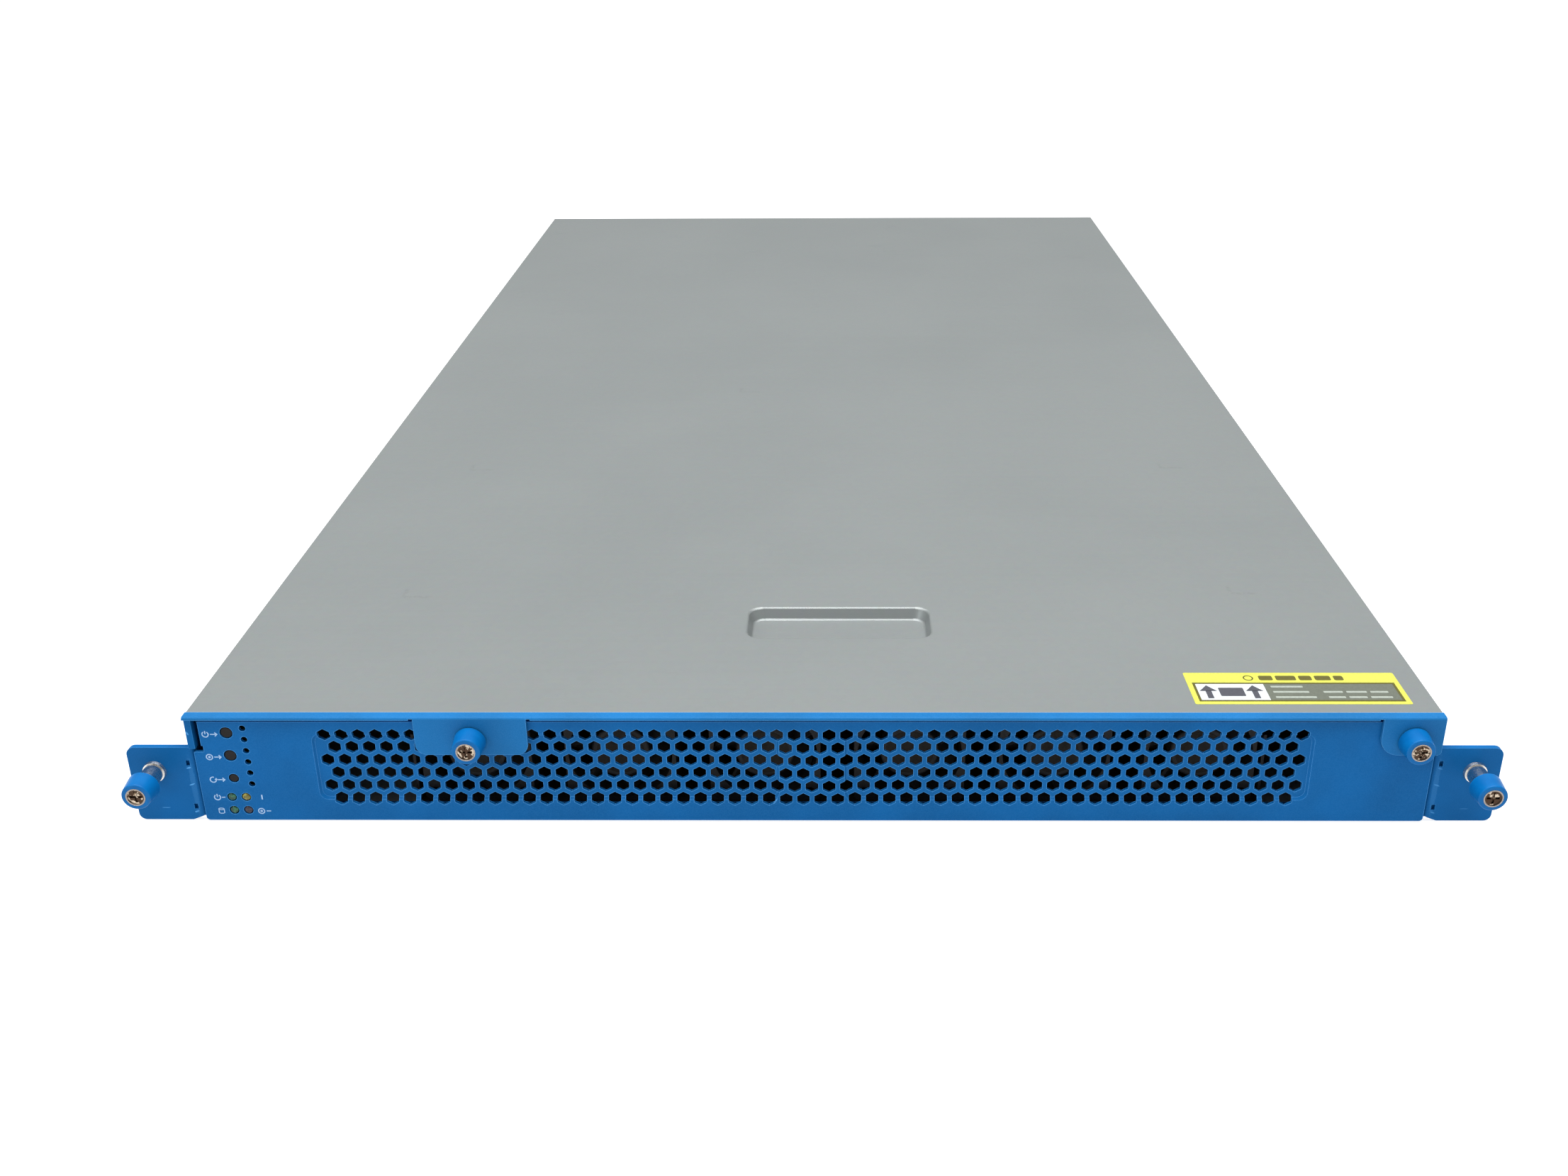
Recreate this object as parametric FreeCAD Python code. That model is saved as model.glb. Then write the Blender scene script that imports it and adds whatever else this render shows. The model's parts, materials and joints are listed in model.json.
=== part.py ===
import FreeCAD, Part
import math
import os

# Rack firewall appliance, one rack unit high, all sizes in millimetres.
# +X is to the right as seen from the front, +Y runs from the front to the back, +Z is up.
# The shapes are laid out with Y = 0 at the front edge of the cover's lip and Z = 0 at the underside,
# and every one is moved so that the origin is at the middle of the underside.

V = FreeCAD.Vector

# Case
WIDTH = 437.0
HEIGHT = 43.6
DEPTH = 775.0
SHEET = 1.2
HALF = WIDTH / 2
TRAY_HALF = HALF - 1.5
TRAY_FRONT = 16.0
COVER_BOTTOM = HEIGHT - SHEET
ORIGIN_Y = DEPTH / 2

# Front panel with its two recessed perforated fields
PANEL_FRONT = 1.6
PANEL_BACK = PANEL_FRONT + SHEET
PANEL_TOP = 41.0
PANEL_HALF_UPPER = 214.0
PANEL_HALF_LOWER = 217.0
PANEL_STEP_Z = 28.7
PANEL_STEP_GAP = 2.5
PANEL_FLANGE = 7.4
FIELD_INNER = 11.5
FIELD_OUTER = 174.9
FIELD_BOTTOM = 8.9
FIELD_TOP = 35.9
FIELD_DEPTH = 0.85
FIELD_RADIUS = 3.0
HEX_PITCH = 6.09
HEX_FLATS = 4.5
HEX_TOP_ROW = 35.5
HEX_ROWS = 6
HEX_LONG_ROW = 57

# Rack ears
EAR_FRONT = 2.2
EAR_SHEET = 2.0
EAR_BACK = EAR_FRONT + EAR_SHEET
EAR_HALF = 482.6 / 2
EAR_TOP = 30.1
EAR_FLANGE_LENGTH = 62.0
EAR_GAP = 0.2
EAR_BEND_R = 1.6
EAR_RETURN = 2.3
EAR_RETURN_FRONT = 1.4
EAR_SLOT_X = 219.5
EAR_SLOT_SIZE = (1.4, 1.5, 2.3)
EAR_SLOT_Z = (4.4, 22.5)
EAR_SCREW_X = 465.1 / 2
EAR_SCREW_Z = 20.3

# Cover, its front rail and the two tabs that hang in front of the panel
RAIL_STRIP = 3.7
COVER_FLANGE_DROP = 12.0
COVER_FLANGE_START = 80.0
TAB_BOTTOM = 28.6
LEFT_TAB = (-138.2, -98.9)
RIGHT_TAB = (197.1, HALF)
COVER_SCREW_LEFT_X = -118.8
COVER_SCREW_RIGHT_X = 208.3
COVER_SCREW_Z = 34.3
FINGER_X = (-25.4, 45.3)
FINGER_Y = (58.0, 83.0)
FINGER_DEPTH = 4.5
FINGER_RADIUS = 5.5
FINGER_BEND = 1.0
LABEL_X = (134.2, 210.0)
LABEL_Y = (9.2, 31.2)
LABEL_THICK = 0.15

# Captive thumbscrews
KNOB_LENGTH = 6.9
KNOB_BACK_R = 5.6
KNOB_FRONT_R = 4.95
KNOB_WALL = 1.2
CUP_R = 3.8
BARREL_R = 3.5
BORE_R = 3.0
WEB_HOLE_R = 2.15
SHANK_R = 2.0
HEAD_R = 3.4
RING_R = 2.8
RING_HOLE_R = 2.05
RING_THICK = 0.6
EAR_KNOB_RIM = -7.1
EAR_BARREL_END = -7.2
COVER_KNOB_RIM = -0.6

# Controls at the left end of the panel: (x, z)
POWER_AT = (-204.4, 36.5)
ID_AT = (-204.4, 27.2)
RESET_AT = (-204.6, 17.8)
BUTTON_R = 2.15
RESET_R = 1.7
BUTTON_GAP = 0.15
VENT_X = -198.5
VENT_TOP = 38.3
VENT_PITCH = 4.58
VENT_COUNT = 6
VENT_R = 1.2
LED_X = (-206.5, -201.4)
LED_Z = (9.9, 4.4)
LED_R = 1.6
LED_HOLE_R = 1.75
BOARD_FRONT = 9.0
BOARD_THICK = 1.6

# Fan bank behind the panel
FAN_COUNT = 6
FAN_PITCH = 51.7
FAN_CENTRE_X = 9.0
FAN_SIZE = 39.6
FAN_LENGTH = 28.0
FAN_FRONT = 11.0
FAN_BOTTOM = SHEET + 1.0
DUCT_R = 18.6
BLADE_TIP_R = 18.0
FAN_HUB_R = 10.5
PIN_R = 1.0
PIN_HOLE_R = 1.05

# Power supplies, side by side at the back
PSU_WIDTH = 73.5
PSU_BOTTOM = 1.6
PSU_TOP = 41.0
PSU_LENGTH = 185.0
PSU_BACK = DEPTH + 0.6
PSU_FRONT = PSU_BACK - PSU_LENGTH
PSU_SHEET = 0.8
PSU_X = {"psu_a": -175.4, "psu_b": -99.2}
INLET_U = -20.9
INLET_Z = 17.0
HANDLE_U = -3.4
GRILLE_U = 14.6
GRILLE_R = 15.0
LATCH_U = 34.0
LATCH_PIVOT_Y = 765.0

# Rear panel and what it carries
REAR_FRONT = DEPTH - SHEET
LAN_X = (-50.0, 14.0)
LAN_COUNT = 4
LAN_PITCH = 15.6
PORT_Z = (9.0, 23.4)
PORT_FRONT = 749.0
PORT_BACK = DEPTH + 0.4
JACK_WIDTH = 11.8
JACK_HEIGHT = 8.6
JACK_DEPTH = 14.0
SERVICE_X = (20.0, 54.0)
SFP_X = (68.0, 84.0)
SFP_SIZE = (14.6, 10.2)
SFP_LENGTH = 48.0
REAR_VENT_X = (108.0, 204.0)
REAR_VENT_PITCH = 6.0
REAR_VENT_ROWS = 5
REAR_SCREW_X = (-56.0, 18.0, 100.0, 210.0)
REAR_SCREW_Z = 38.5

# Boards and parts inside
MAIN_BOARD = (-56.0, 208.0, 330.0, 746.0)
MAIN_BOARD_Z = 6.4
RAIL_HOLE_Y = (180.0, 580.0)
RAIL_HOLE_Z = 21.0
RAIL_HOLE_R = 2.1
PILLAR_R = 2.2
RIVET_R = 2.0
BASE_TOP = SHEET + 1.0


def box(x0, x1, y0, y1, z0, z1):
    return Part.makeBox(x1 - x0, y1 - y0, z1 - z0, V(x0, y0, z0))


def rod_y(x, z, radius, y0, y1):
    return Part.makeCylinder(radius, y1 - y0, V(x, y0, z), V(0, 1, 0))


def cone_y(x, z, radius0, radius1, y0, y1):
    return Part.makeCone(radius0, radius1, y1 - y0, V(x, y0, z), V(0, 1, 0))


def tube_y(x, z, outer, inner, y0, y1):
    return rod_y(x, z, outer, y0, y1).cut(rod_y(x, z, inner, y0 - 1, y1 + 1))


def rod_z(x, y, radius, z0, z1):
    return Part.makeCylinder(radius, z1 - z0, V(x, y, z0), V(0, 0, 1))


def rod_x(y, z, radius, x0, x1):
    return Part.makeCylinder(radius, x1 - x0, V(x0, y, z), V(1, 0, 0))


def hex_y(x, z, flats, y0, y1):
    """A hexagonal prism along Y with two corners at its top and bottom."""
    radius = flats / math.sqrt(3)
    corners = [V(x + radius * math.sin(math.radians(60 * i)), y0, z + radius * math.cos(math.radians(60 * i)))
               for i in range(7)]
    return Part.Face(Part.makePolygon(corners)).extrude(V(0, y1 - y0, 0))


def rounded_outline(corners, place):
    """A closed wire through (u, v, radius) corners, each one rounded by its own radius."""
    edges = []
    starts = []
    ends = []
    mids = []
    count = len(corners)
    for i in range(count):
        here = V(corners[i][0], corners[i][1], 0)
        before = V(corners[i - 1][0], corners[i - 1][1], 0)
        after = V(corners[(i + 1) % count][0], corners[(i + 1) % count][1], 0)
        to_before = (before - here).normalize()
        to_after = (after - here).normalize()
        half_angle = to_before.getAngle(to_after) / 2
        radius = corners[i][2]
        tangent = radius / math.tan(half_angle)
        bisector = (to_before + to_after).normalize()
        reach = radius / math.sin(half_angle) - radius
        starts.append(here + to_before * tangent)
        mids.append(here + bisector * reach)
        ends.append(here + to_after * tangent)
    for i in range(count):
        if corners[i][2] > 0:
            edges.append(Part.Arc(*[place(p.x, p.y) for p in (starts[i], mids[i], ends[i])]).toShape())
        leave = place(ends[i].x, ends[i].y)
        arrive = place(starts[(i + 1) % count].x, starts[(i + 1) % count].y)
        if leave.distanceToPoint(arrive) > 1e-6:
            edges.append(Part.LineSegment(leave, arrive).toShape())
    return Part.Wire(edges)


def at_y(y):
    return lambda u, v: V(u, y, v)


def at_z(z):
    return lambda u, v: V(u, v, z)


def rounded_rectangle(u0, u1, v0, v1, radius):
    return [(u0, v0, radius), (u1, v0, radius), (u1, v1, radius), (u0, v1, radius)]


def plate_y(corners, y0, y1):
    """A flat plate that faces along Y, from an outline in X and Z."""
    return Part.Face(rounded_outline(corners, at_y(y0))).extrude(V(0, y1 - y0, 0))


def plate_z(corners, z0, z1):
    """A flat plate that faces along Z, from an outline in X and Y."""
    return Part.Face(rounded_outline(corners, at_z(z0))).extrude(V(0, 0, z1 - z0))


def pressed_y(u0, u1, v0, v1, radius, y0, y1, slope):
    """The tapered block that a recess pressed along Y leaves, widest at y0."""
    wide = rounded_outline(rounded_rectangle(u0, u1, v0, v1, radius), at_y(y0))
    narrow = rounded_outline(
        rounded_rectangle(u0 + slope, u1 - slope, v0 + slope, v1 - slope, radius - slope / 2), at_y(y1))
    return Part.makeLoft([wide, narrow], True, True)


def pressed_z(u0, u1, v0, v1, radius, z0, z1, slope):
    """The tapered block that a recess pressed along Z leaves, widest at z0."""
    wide = rounded_outline(rounded_rectangle(u0, u1, v0, v1, radius), at_z(z0))
    narrow = rounded_outline(
        rounded_rectangle(u0 + slope, u1 - slope, v0 + slope, v1 - slope, radius - slope / 2), at_z(z1))
    return Part.makeLoft([wide, narrow], True, True)


def fuse(shapes):
    return shapes[0].multiFuse(shapes[1:]).removeSplitter()


def cut(shape, tools):
    return shape.cut(Part.makeCompound(tools)) if tools else shape


def mirror_x(shape):
    return shape.mirror(V(0, 0, 0), V(1, 0, 0))


# Case

def ear_side_screw_places():
    """Where the countersunk screws go through an ear's side flange: (y, z)."""
    return [(24.0, 8.0), (24.0, 34.0), (52.0, 8.0), (52.0, 34.0)]


def rivet_places():
    """The rivets that hold the fan trough and the power supply bays to the tray's floor: (x, y)."""
    fan_rivets = [(FAN_CENTRE_X + (i - 1) * 2 * FAN_PITCH - FAN_PITCH / 2, FAN_FRONT + FAN_LENGTH / 2)
                  for i in range(FAN_COUNT // 2 + 1)]
    divider_x = (PSU_X["psu_a"] + PSU_X["psu_b"]) / 2
    bay_rivets = [(x, PSU_FRONT - 12) for x in (-205.0, divider_x - 20, divider_x + 20, -72.0)]
    return fan_rivets + bay_rivets


def rivet_head(x, y, radius, top):
    """The countersunk head of a rivet, in the sheet that lies on the tray's floor."""
    return Part.makeCone(radius, radius + 1.0, top - SHEET, V(x, y, SHEET), V(0, 0, 1))


def chassis_tray():
    inner = TRAY_HALF - SHEET
    floor = box(-TRAY_HALF, TRAY_HALF, PANEL_BACK + 0.4, DEPTH, 0, SHEET)
    walls = [box(side * TRAY_HALF if side < 0 else inner, -inner if side < 0 else TRAY_HALF,
                 TRAY_FRONT, DEPTH, 0, COVER_BOTTOM - 0.2) for side in (-1, 1)]
    tray = fuse([floor] + walls)
    holes = []
    for y, z in ear_side_screw_places():
        holes.append(rod_x(y, z, 1.9, -TRAY_HALF - 1, TRAY_HALF + 1))
    for y in RAIL_HOLE_Y:
        holes.append(rod_x(y, RAIL_HOLE_Z, RAIL_HOLE_R, -TRAY_HALF - 1, TRAY_HALF + 1))
    for x, y in standoff_places():
        holes.append(rod_z(x, y, PILLAR_R, -1, SHEET + 1))
    for x, y in rivet_places():
        holes.append(rod_z(x, y, RIVET_R, -1, SHEET + 1))
    return cut(tray, holes)


def rear_panel():
    panel = box(-TRAY_HALF + SHEET, TRAY_HALF - SHEET, REAR_FRONT, DEPTH, SHEET, COVER_BOTTOM - 0.2)
    holes = []
    for centre in PSU_X.values():
        holes.append(box(centre - PSU_WIDTH / 2 - 0.3, centre + PSU_WIDTH / 2 + 0.3,
                         REAR_FRONT - 1, DEPTH + 1, 0, PSU_TOP + 0.3))
    holes.append(box(LAN_X[0], LAN_X[1], REAR_FRONT - 1, DEPTH + 1, PORT_Z[0], PORT_Z[1]))
    holes.append(box(SERVICE_X[0], SERVICE_X[1], REAR_FRONT - 1, DEPTH + 1, PORT_Z[0], PORT_Z[1]))
    for x in SFP_X:
        holes.append(box(x - SFP_SIZE[0] / 2, x + SFP_SIZE[0] / 2, REAR_FRONT - 1, DEPTH + 1,
                         PORT_Z[0], PORT_Z[0] + SFP_SIZE[1]))
    for row in range(REAR_VENT_ROWS):
        x = REAR_VENT_X[0] + (row % 2) * REAR_VENT_PITCH / 2
        while x <= REAR_VENT_X[1]:
            holes.append(hex_y(x, 11.0 + row * REAR_VENT_PITCH * 0.866, 4.6, REAR_FRONT - 1, DEPTH + 1))
            x += REAR_VENT_PITCH
    return cut(panel, holes)


def hex_places():
    """The centres of the hexagonal holes, leaving out those that the cover screw's nut covers."""
    places = []
    for row in range(HEX_ROWS):
        count = HEX_LONG_ROW if row % 2 == 0 else HEX_LONG_ROW - 1
        z = HEX_TOP_ROW - row * HEX_PITCH * math.sqrt(3) / 2
        for i in range(count):
            x = (i - (count - 1) / 2) * HEX_PITCH
            if math.hypot(x - COVER_SCREW_LEFT_X, z - COVER_SCREW_Z) > 7.0:
                places.append((x, z))
    return places


def front_panel():
    step_top = PANEL_STEP_Z + PANEL_STEP_GAP
    notch_in = PANEL_HALF_UPPER - 0.6
    right = [(PANEL_HALF_LOWER, 0.2, 1.3), (PANEL_HALF_LOWER, PANEL_STEP_Z, 0.4),
             (notch_in, PANEL_STEP_Z, 0.2), (notch_in, step_top, 0.2),
             (PANEL_HALF_UPPER, step_top, 0.1), (PANEL_HALF_UPPER, PANEL_TOP, 0)]
    left = [(-u, v, radius) for u, v, radius in reversed(right)]
    face = plate_y(right + left, PANEL_FRONT, PANEL_BACK)
    flanges = [
        box(-210, 210, PANEL_BACK, PANEL_BACK + PANEL_FLANGE - 1.2, PANEL_TOP - SHEET, PANEL_TOP),
        box(-210, 210, PANEL_BACK, PANEL_BACK + PANEL_FLANGE, SHEET, 2 * SHEET),
    ]
    for side in (-1, 1):
        x = side * (PANEL_HALF_UPPER - SHEET / 2)
        flanges.append(box(x - SHEET / 2, x + SHEET / 2, PANEL_BACK, TRAY_FRONT, step_top, PANEL_TOP))
    pockets = []
    for x0, x1 in ((-FIELD_OUTER, -FIELD_INNER), (FIELD_INNER, FIELD_OUTER)):
        flanges.append(pressed_y(x0, x1, FIELD_BOTTOM, FIELD_TOP, FIELD_RADIUS,
                                 PANEL_BACK, PANEL_BACK + FIELD_DEPTH, FIELD_DEPTH))
        pockets.append(pressed_y(x0, x1, FIELD_BOTTOM, FIELD_TOP, FIELD_RADIUS,
                                 PANEL_FRONT, PANEL_FRONT + FIELD_DEPTH, FIELD_DEPTH))
    panel = cut(fuse([face] + flanges), pockets)
    holes = [hex_y(x, z, HEX_FLATS, 0, PANEL_BACK + 2) for x, z in hex_places()]
    for x in (COVER_SCREW_LEFT_X, COVER_SCREW_RIGHT_X):
        holes.append(rod_y(x, COVER_SCREW_Z, SHANK_R + 0.3, 0, PANEL_BACK + 2))
    for x, z in (POWER_AT, ID_AT):
        holes.append(rod_y(x, z, BUTTON_R + BUTTON_GAP, 0, PANEL_BACK + 1))
    holes.append(rod_y(RESET_AT[0], RESET_AT[1], RESET_R + BUTTON_GAP, 0, PANEL_BACK + 1))
    for i in range(VENT_COUNT):
        holes.append(rod_y(VENT_X, VENT_TOP - i * VENT_PITCH, VENT_R, 0, PANEL_BACK + 1))
    for x in LED_X:
        for z in LED_Z:
            holes.append(rod_y(x, z, LED_HOLE_R, 0, PANEL_BACK + 1))
    return cut(panel, holes)


def cover_screw_nuts():
    """The two clinch nuts on the back of the panel that the cover screws turn into."""
    nuts = []
    for x, back in ((COVER_SCREW_LEFT_X, PANEL_BACK + FIELD_DEPTH), (COVER_SCREW_RIGHT_X, PANEL_BACK)):
        nuts.append(tube_y(x, COVER_SCREW_Z, 3.6, SHANK_R + 0.08, back, back + 2.2))
    return nuts


def rack_ear_right():
    """A plate bent out from a flange along the tray's side, and a narrow return above the plate."""
    inner = TRAY_HALF + EAR_GAP
    outline = [(inner, 1.9, 0), (inner + 4.8, 0, 1.0), (EAR_HALF, 0, 2.6), (EAR_HALF, EAR_TOP, 3.0),
               (inner, EAR_TOP, 0)]
    plate = plate_y(outline, EAR_FRONT, EAR_BACK)
    bend = [e for e in plate.Edges if e.BoundBox.XMax < inner + 0.01 and e.BoundBox.YMax < EAR_FRONT + 0.01
            and e.Length > EAR_TOP / 2]
    plate = plate.makeFillet(EAR_BEND_R, bend)
    top = COVER_BOTTOM - 0.3
    flange = box(TRAY_HALF, HALF, EAR_BACK - 0.3, EAR_FLANGE_LENGTH, 0.6, top)
    turned_in = box(HALF - EAR_RETURN, HALF, EAR_RETURN_FRONT, EAR_BACK, EAR_TOP, top)
    ear = fuse([plate, flange, turned_in])
    holes = [rod_y(EAR_SCREW_X, EAR_SCREW_Z, 3.1, EAR_FRONT - 1, EAR_BACK + 1)]
    width, depth, height = EAR_SLOT_SIZE
    for z in EAR_SLOT_Z:
        holes.append(box(EAR_SLOT_X, EAR_SLOT_X + width, EAR_FRONT - 1, EAR_FRONT + depth, z, z + height))
    for y, z in ear_side_screw_places():
        holes.append(rod_x(y, z, 2.0, TRAY_HALF - 1, HALF + 1))
        holes.append(Part.makeCone(2.0, 3.6, HALF - TRAY_HALF, V(TRAY_HALF, y, z), V(1, 0, 0)))
    return cut(ear, holes)


def chassis_fasteners():
    """The cover screws' nuts, the rivets, the ears' countersunk screws and the rear panel's screws."""
    screws = cover_screw_nuts()
    for x, y in rivet_places():
        shank = rod_z(x, y, RIVET_R, 0.15, SHEET)
        screws.append(fuse([shank, rivet_head(x, y, RIVET_R, BASE_TOP - 0.05)]))
    for y, z in ear_side_screw_places():
        head = Part.makeCone(1.9, 3.5, HALF - TRAY_HALF - 0.05, V(TRAY_HALF + 0.05, y, z), V(1, 0, 0))
        shank = rod_x(y, z, 1.85, TRAY_HALF - 4.0, TRAY_HALF + 0.1)
        slot = [box(HALF - 0.7, HALF, y - 1.6, y + 1.6, z - 0.35, z + 0.35),
                box(HALF - 0.7, HALF, y - 0.35, y + 0.35, z - 1.6, z + 1.6)]
        screw = cut(fuse([head, shank]), slot)
        screws.append(screw)
        screws.append(mirror_x(screw))
    for x in REAR_SCREW_X:
        head = cone_y(x, REAR_SCREW_Z, 2.6, 1.9, DEPTH, DEPTH + 1.6)
        slot = box(x - 1.5, x + 1.5, DEPTH + 1.0, DEPTH + 2, REAR_SCREW_Z - 0.3, REAR_SCREW_Z + 0.3)
        screws.append(cut(head, [slot]))
    return Part.makeCompound(screws)


# Cover

def top_cover():
    plate = box(-HALF, HALF, RAIL_STRIP, DEPTH, COVER_BOTTOM, HEIGHT)
    flanges = [box(HALF - SHEET, HALF, COVER_FLANGE_START, DEPTH, HEIGHT - COVER_FLANGE_DROP, HEIGHT)]
    flanges.append(mirror_x(flanges[0]))
    bulge = pressed_z(FINGER_X[0] - 0.6, FINGER_X[1] + 0.6, FINGER_Y[0] - 0.6, FINGER_Y[1] + 0.6,
                      FINGER_RADIUS, COVER_BOTTOM, HEIGHT - FINGER_DEPTH - SHEET, 1.6)
    pocket = pressed_z(FINGER_X[0], FINGER_X[1], FINGER_Y[0], FINGER_Y[1],
                       FINGER_RADIUS, HEIGHT, HEIGHT - FINGER_DEPTH, 1.8)
    cover = fuse([plate] + flanges + [bulge]).cut(pocket)
    cover = cover.makeFillet(FINGER_BEND, recess_edges(cover, HEIGHT, FINGER_X[0]))
    cover = cover.makeFillet(FINGER_BEND, recess_edges(cover, HEIGHT - FINGER_DEPTH, FINGER_X[0] + 1.8))
    sides = [e for e in cover.Edges if abs(e.BoundBox.XLength) < 1e-6 and e.Length > DEPTH / 2
             and abs(e.BoundBox.ZMax - HEIGHT) < 1e-6 and abs(abs(e.BoundBox.XMax) - HALF) < 1e-6]
    return cover.makeFillet(0.8, sides)


def recess_edges(cover, z, left):
    """The edges of the finger recess at height z, whose left side is at x = left."""
    right = FINGER_X[0] + FINGER_X[1] - left
    return [e for e in cover.Edges if abs(e.BoundBox.ZMin - z) < 1e-4 and abs(e.BoundBox.ZMax - z) < 1e-4
            and e.BoundBox.XMin > left - 0.1 and e.BoundBox.XMax < right + 0.1
            and FINGER_Y[0] - 0.1 < e.BoundBox.YMin and e.BoundBox.YMax < FINGER_Y[1] + 0.1]


def tab(x0, x1, radius_left, radius_right):
    return plate_y([(x0, TAB_BOTTOM, radius_left), (x1, TAB_BOTTOM, radius_right),
                    (x1, COVER_BOTTOM + 0.3, 0), (x0, COVER_BOTTOM + 0.3, 0)], 0, SHEET)


def cover_front_rail():
    strip = box(-HALF, HALF, 0, RAIL_STRIP, COVER_BOTTOM, HEIGHT)
    front_edge = [e for e in strip.Edges if e.Length > WIDTH / 2 and e.BoundBox.YMax < 0.01
                  and e.BoundBox.ZMin > HEIGHT - 0.01]
    strip = strip.makeFillet(0.9, front_edge)
    tongue = box(-210, 210, 2.9, 10.0, COVER_BOTTOM - SHEET, COVER_BOTTOM)
    rail = fuse([strip, tongue, tab(*LEFT_TAB, 4.0, 4.0), tab(*RIGHT_TAB, 6.5, 1.5)])
    holes = [rod_y(x, COVER_SCREW_Z, 3.1, -1, SHEET + 0.4)
             for x in (COVER_SCREW_LEFT_X, COVER_SCREW_RIGHT_X)]
    for x in (LEFT_TAB[0] - 0.75, LEFT_TAB[1] + 0.75, RIGHT_TAB[0] - 0.75):
        holes.append(box(x - 0.75, x + 0.75, -1, 2.0, COVER_BOTTOM - 0.5, COVER_BOTTOM + 0.55))
    return cut(rail, holes)


def cover_label():
    return plate_z(rounded_rectangle(*LABEL_X, *LABEL_Y, 1.2), HEIGHT, HEIGHT + LABEL_THICK)


# Captive thumbscrews. Each one's knob rim is at y = rim and its face at rim - KNOB_LENGTH.

def knob(x, z, rim):
    face = rim - KNOB_LENGTH
    body = cone_y(x, z, KNOB_FRONT_R, KNOB_BACK_R, face, rim)
    front_edge = [e for e in body.Edges if e.BoundBox.YMax < face + 0.01 and len(e.Vertexes) == 1]
    body = body.makeFillet(0.6, front_edge)
    cup = rod_y(x, z, CUP_R, face + KNOB_WALL, rim + 1)
    return cut(body, [cup, rod_y(x, z, HEAD_R, face - 1, rim)])


def stud(x, z, rim, tip):
    """The screw that is moulded into the knob: a recessed cross-slot head and a plain shank."""
    face = rim - KNOB_LENGTH
    head = rod_y(x, z, HEAD_R, face + 0.3, face + KNOB_WALL)
    rim_ring = tube_y(x, z, HEAD_R, HEAD_R - 0.45, face - 0.1, face + 0.35)
    shank = rod_y(x, z, SHANK_R, face + KNOB_WALL - 0.1, tip)
    slots = [box(x - 2.2, x + 2.2, face, face + 0.9, z - 0.45, z + 0.45),
             box(x - 0.45, x + 0.45, face, face + 0.9, z - 2.2, z + 2.2)]
    screw = cut(fuse([head, rim_ring, shank]), slots)
    point = [e for e in screw.Edges if e.BoundBox.YMin > tip - 0.01]
    return screw.makeChamfer(0.4, point)


def ring(x, z, y0):
    return tube_y(x, z, RING_R, RING_HOLE_R, y0, y0 + RING_THICK)


def ear_ferrule(x):
    """A flanged barrel pressed into the ear, with a web that holds the screw's retaining ring."""
    z = EAR_SCREW_Z
    body = fuse([rod_y(x, z, BARREL_R, EAR_BARREL_END, EAR_FRONT - 0.9),
                 cone_y(x, z, 3.9, 4.2, EAR_FRONT - 1.0, EAR_FRONT),
                 rod_y(x, z, 3.05, EAR_FRONT - 0.1, EAR_BACK)])
    bores = [rod_y(x, z, BORE_R, EAR_BARREL_END - 1, EAR_FRONT - 0.6),
             rod_y(x, z, WEB_HOLE_R, 0, EAR_BACK + 1),
             rod_y(x, z, BORE_R - 0.1, 3.0, EAR_BACK + 1)]
    return cut(body, bores)


def ear_ferrules():
    return Part.makeCompound([ear_ferrule(-EAR_SCREW_X), ear_ferrule(EAR_SCREW_X)])


def cover_ferrule(x):
    """A barrel pressed into the tab and hidden in the knob, with a web at its outer end."""
    z = COVER_SCREW_Z
    body = fuse([rod_y(x, z, BARREL_R, -5.0, 0), rod_y(x, z, 3.05, -0.1, SHEET)])
    return cut(body, [rod_y(x, z, WEB_HOLE_R, -6, 2), rod_y(x, z, BORE_R - 0.1, -4.2, 2)])


def cover_ferrules():
    return Part.makeCompound([cover_ferrule(COVER_SCREW_LEFT_X), cover_ferrule(COVER_SCREW_RIGHT_X)])


def ear_spring(x):
    """The spring that pushes the ear screw out, from the ferrule's web to the knob's floor."""
    wire_r = 0.3
    coil_r = 2.55
    turns = 7
    y_back = EAR_FRONT - 0.6 - wire_r - 0.05
    y_front = EAR_KNOB_RIM - KNOB_LENGTH + KNOB_WALL + wire_r + 0.05
    helix = Part.makeHelix((y_back - y_front) / turns, y_back - y_front, coil_r)
    profile = Part.Wire(Part.makeCircle(wire_r, V(coil_r, 0, 0), V(0, 1, 0)))
    spring = Part.Wire(helix).makePipeShell([profile], True, True)
    spring.rotate(V(0, 0, 0), V(1, 0, 0), -90)
    spring.translate(V(-EAR_SCREW_X, y_front, EAR_SCREW_Z))
    return spring if x < 0 else mirror_x(spring)


# Controls

def control_board():
    x0, x1 = -211.0, -184.0
    board = box(x0, x1, BOARD_FRONT, BOARD_FRONT + BOARD_THICK, 2.6, 39.4)
    connector = box(x0 + 12, x1 - 2, BOARD_FRONT + BOARD_THICK, BOARD_FRONT + BOARD_THICK + 5, 12, 30)
    return fuse([board, connector])


def button_switches():
    switches = []
    for x, z in (POWER_AT, ID_AT, RESET_AT):
        body = box(x - 3, x + 3, 5.6, BOARD_FRONT, z - 3, z + 3)
        switches.append(fuse([body, rod_y(x, z, 1.5, 5.0, 5.6)]))
    return Part.makeCompound(switches)


def button(place, radius):
    """A round cap with a collar behind the panel that keeps it in."""
    x, z = place
    cap = rod_y(x, z, radius, PANEL_FRONT + 0.15, PANEL_BACK + 0.3)
    front_edge = [e for e in cap.Edges if e.BoundBox.YMax < PANEL_FRONT + 0.16 and len(e.Vertexes) == 1]
    cap = cap.makeFillet(0.45, front_edge)
    return fuse([cap, rod_y(x, z, radius + 0.9, PANEL_BACK + 0.2, PANEL_BACK + 1.2)])


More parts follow.
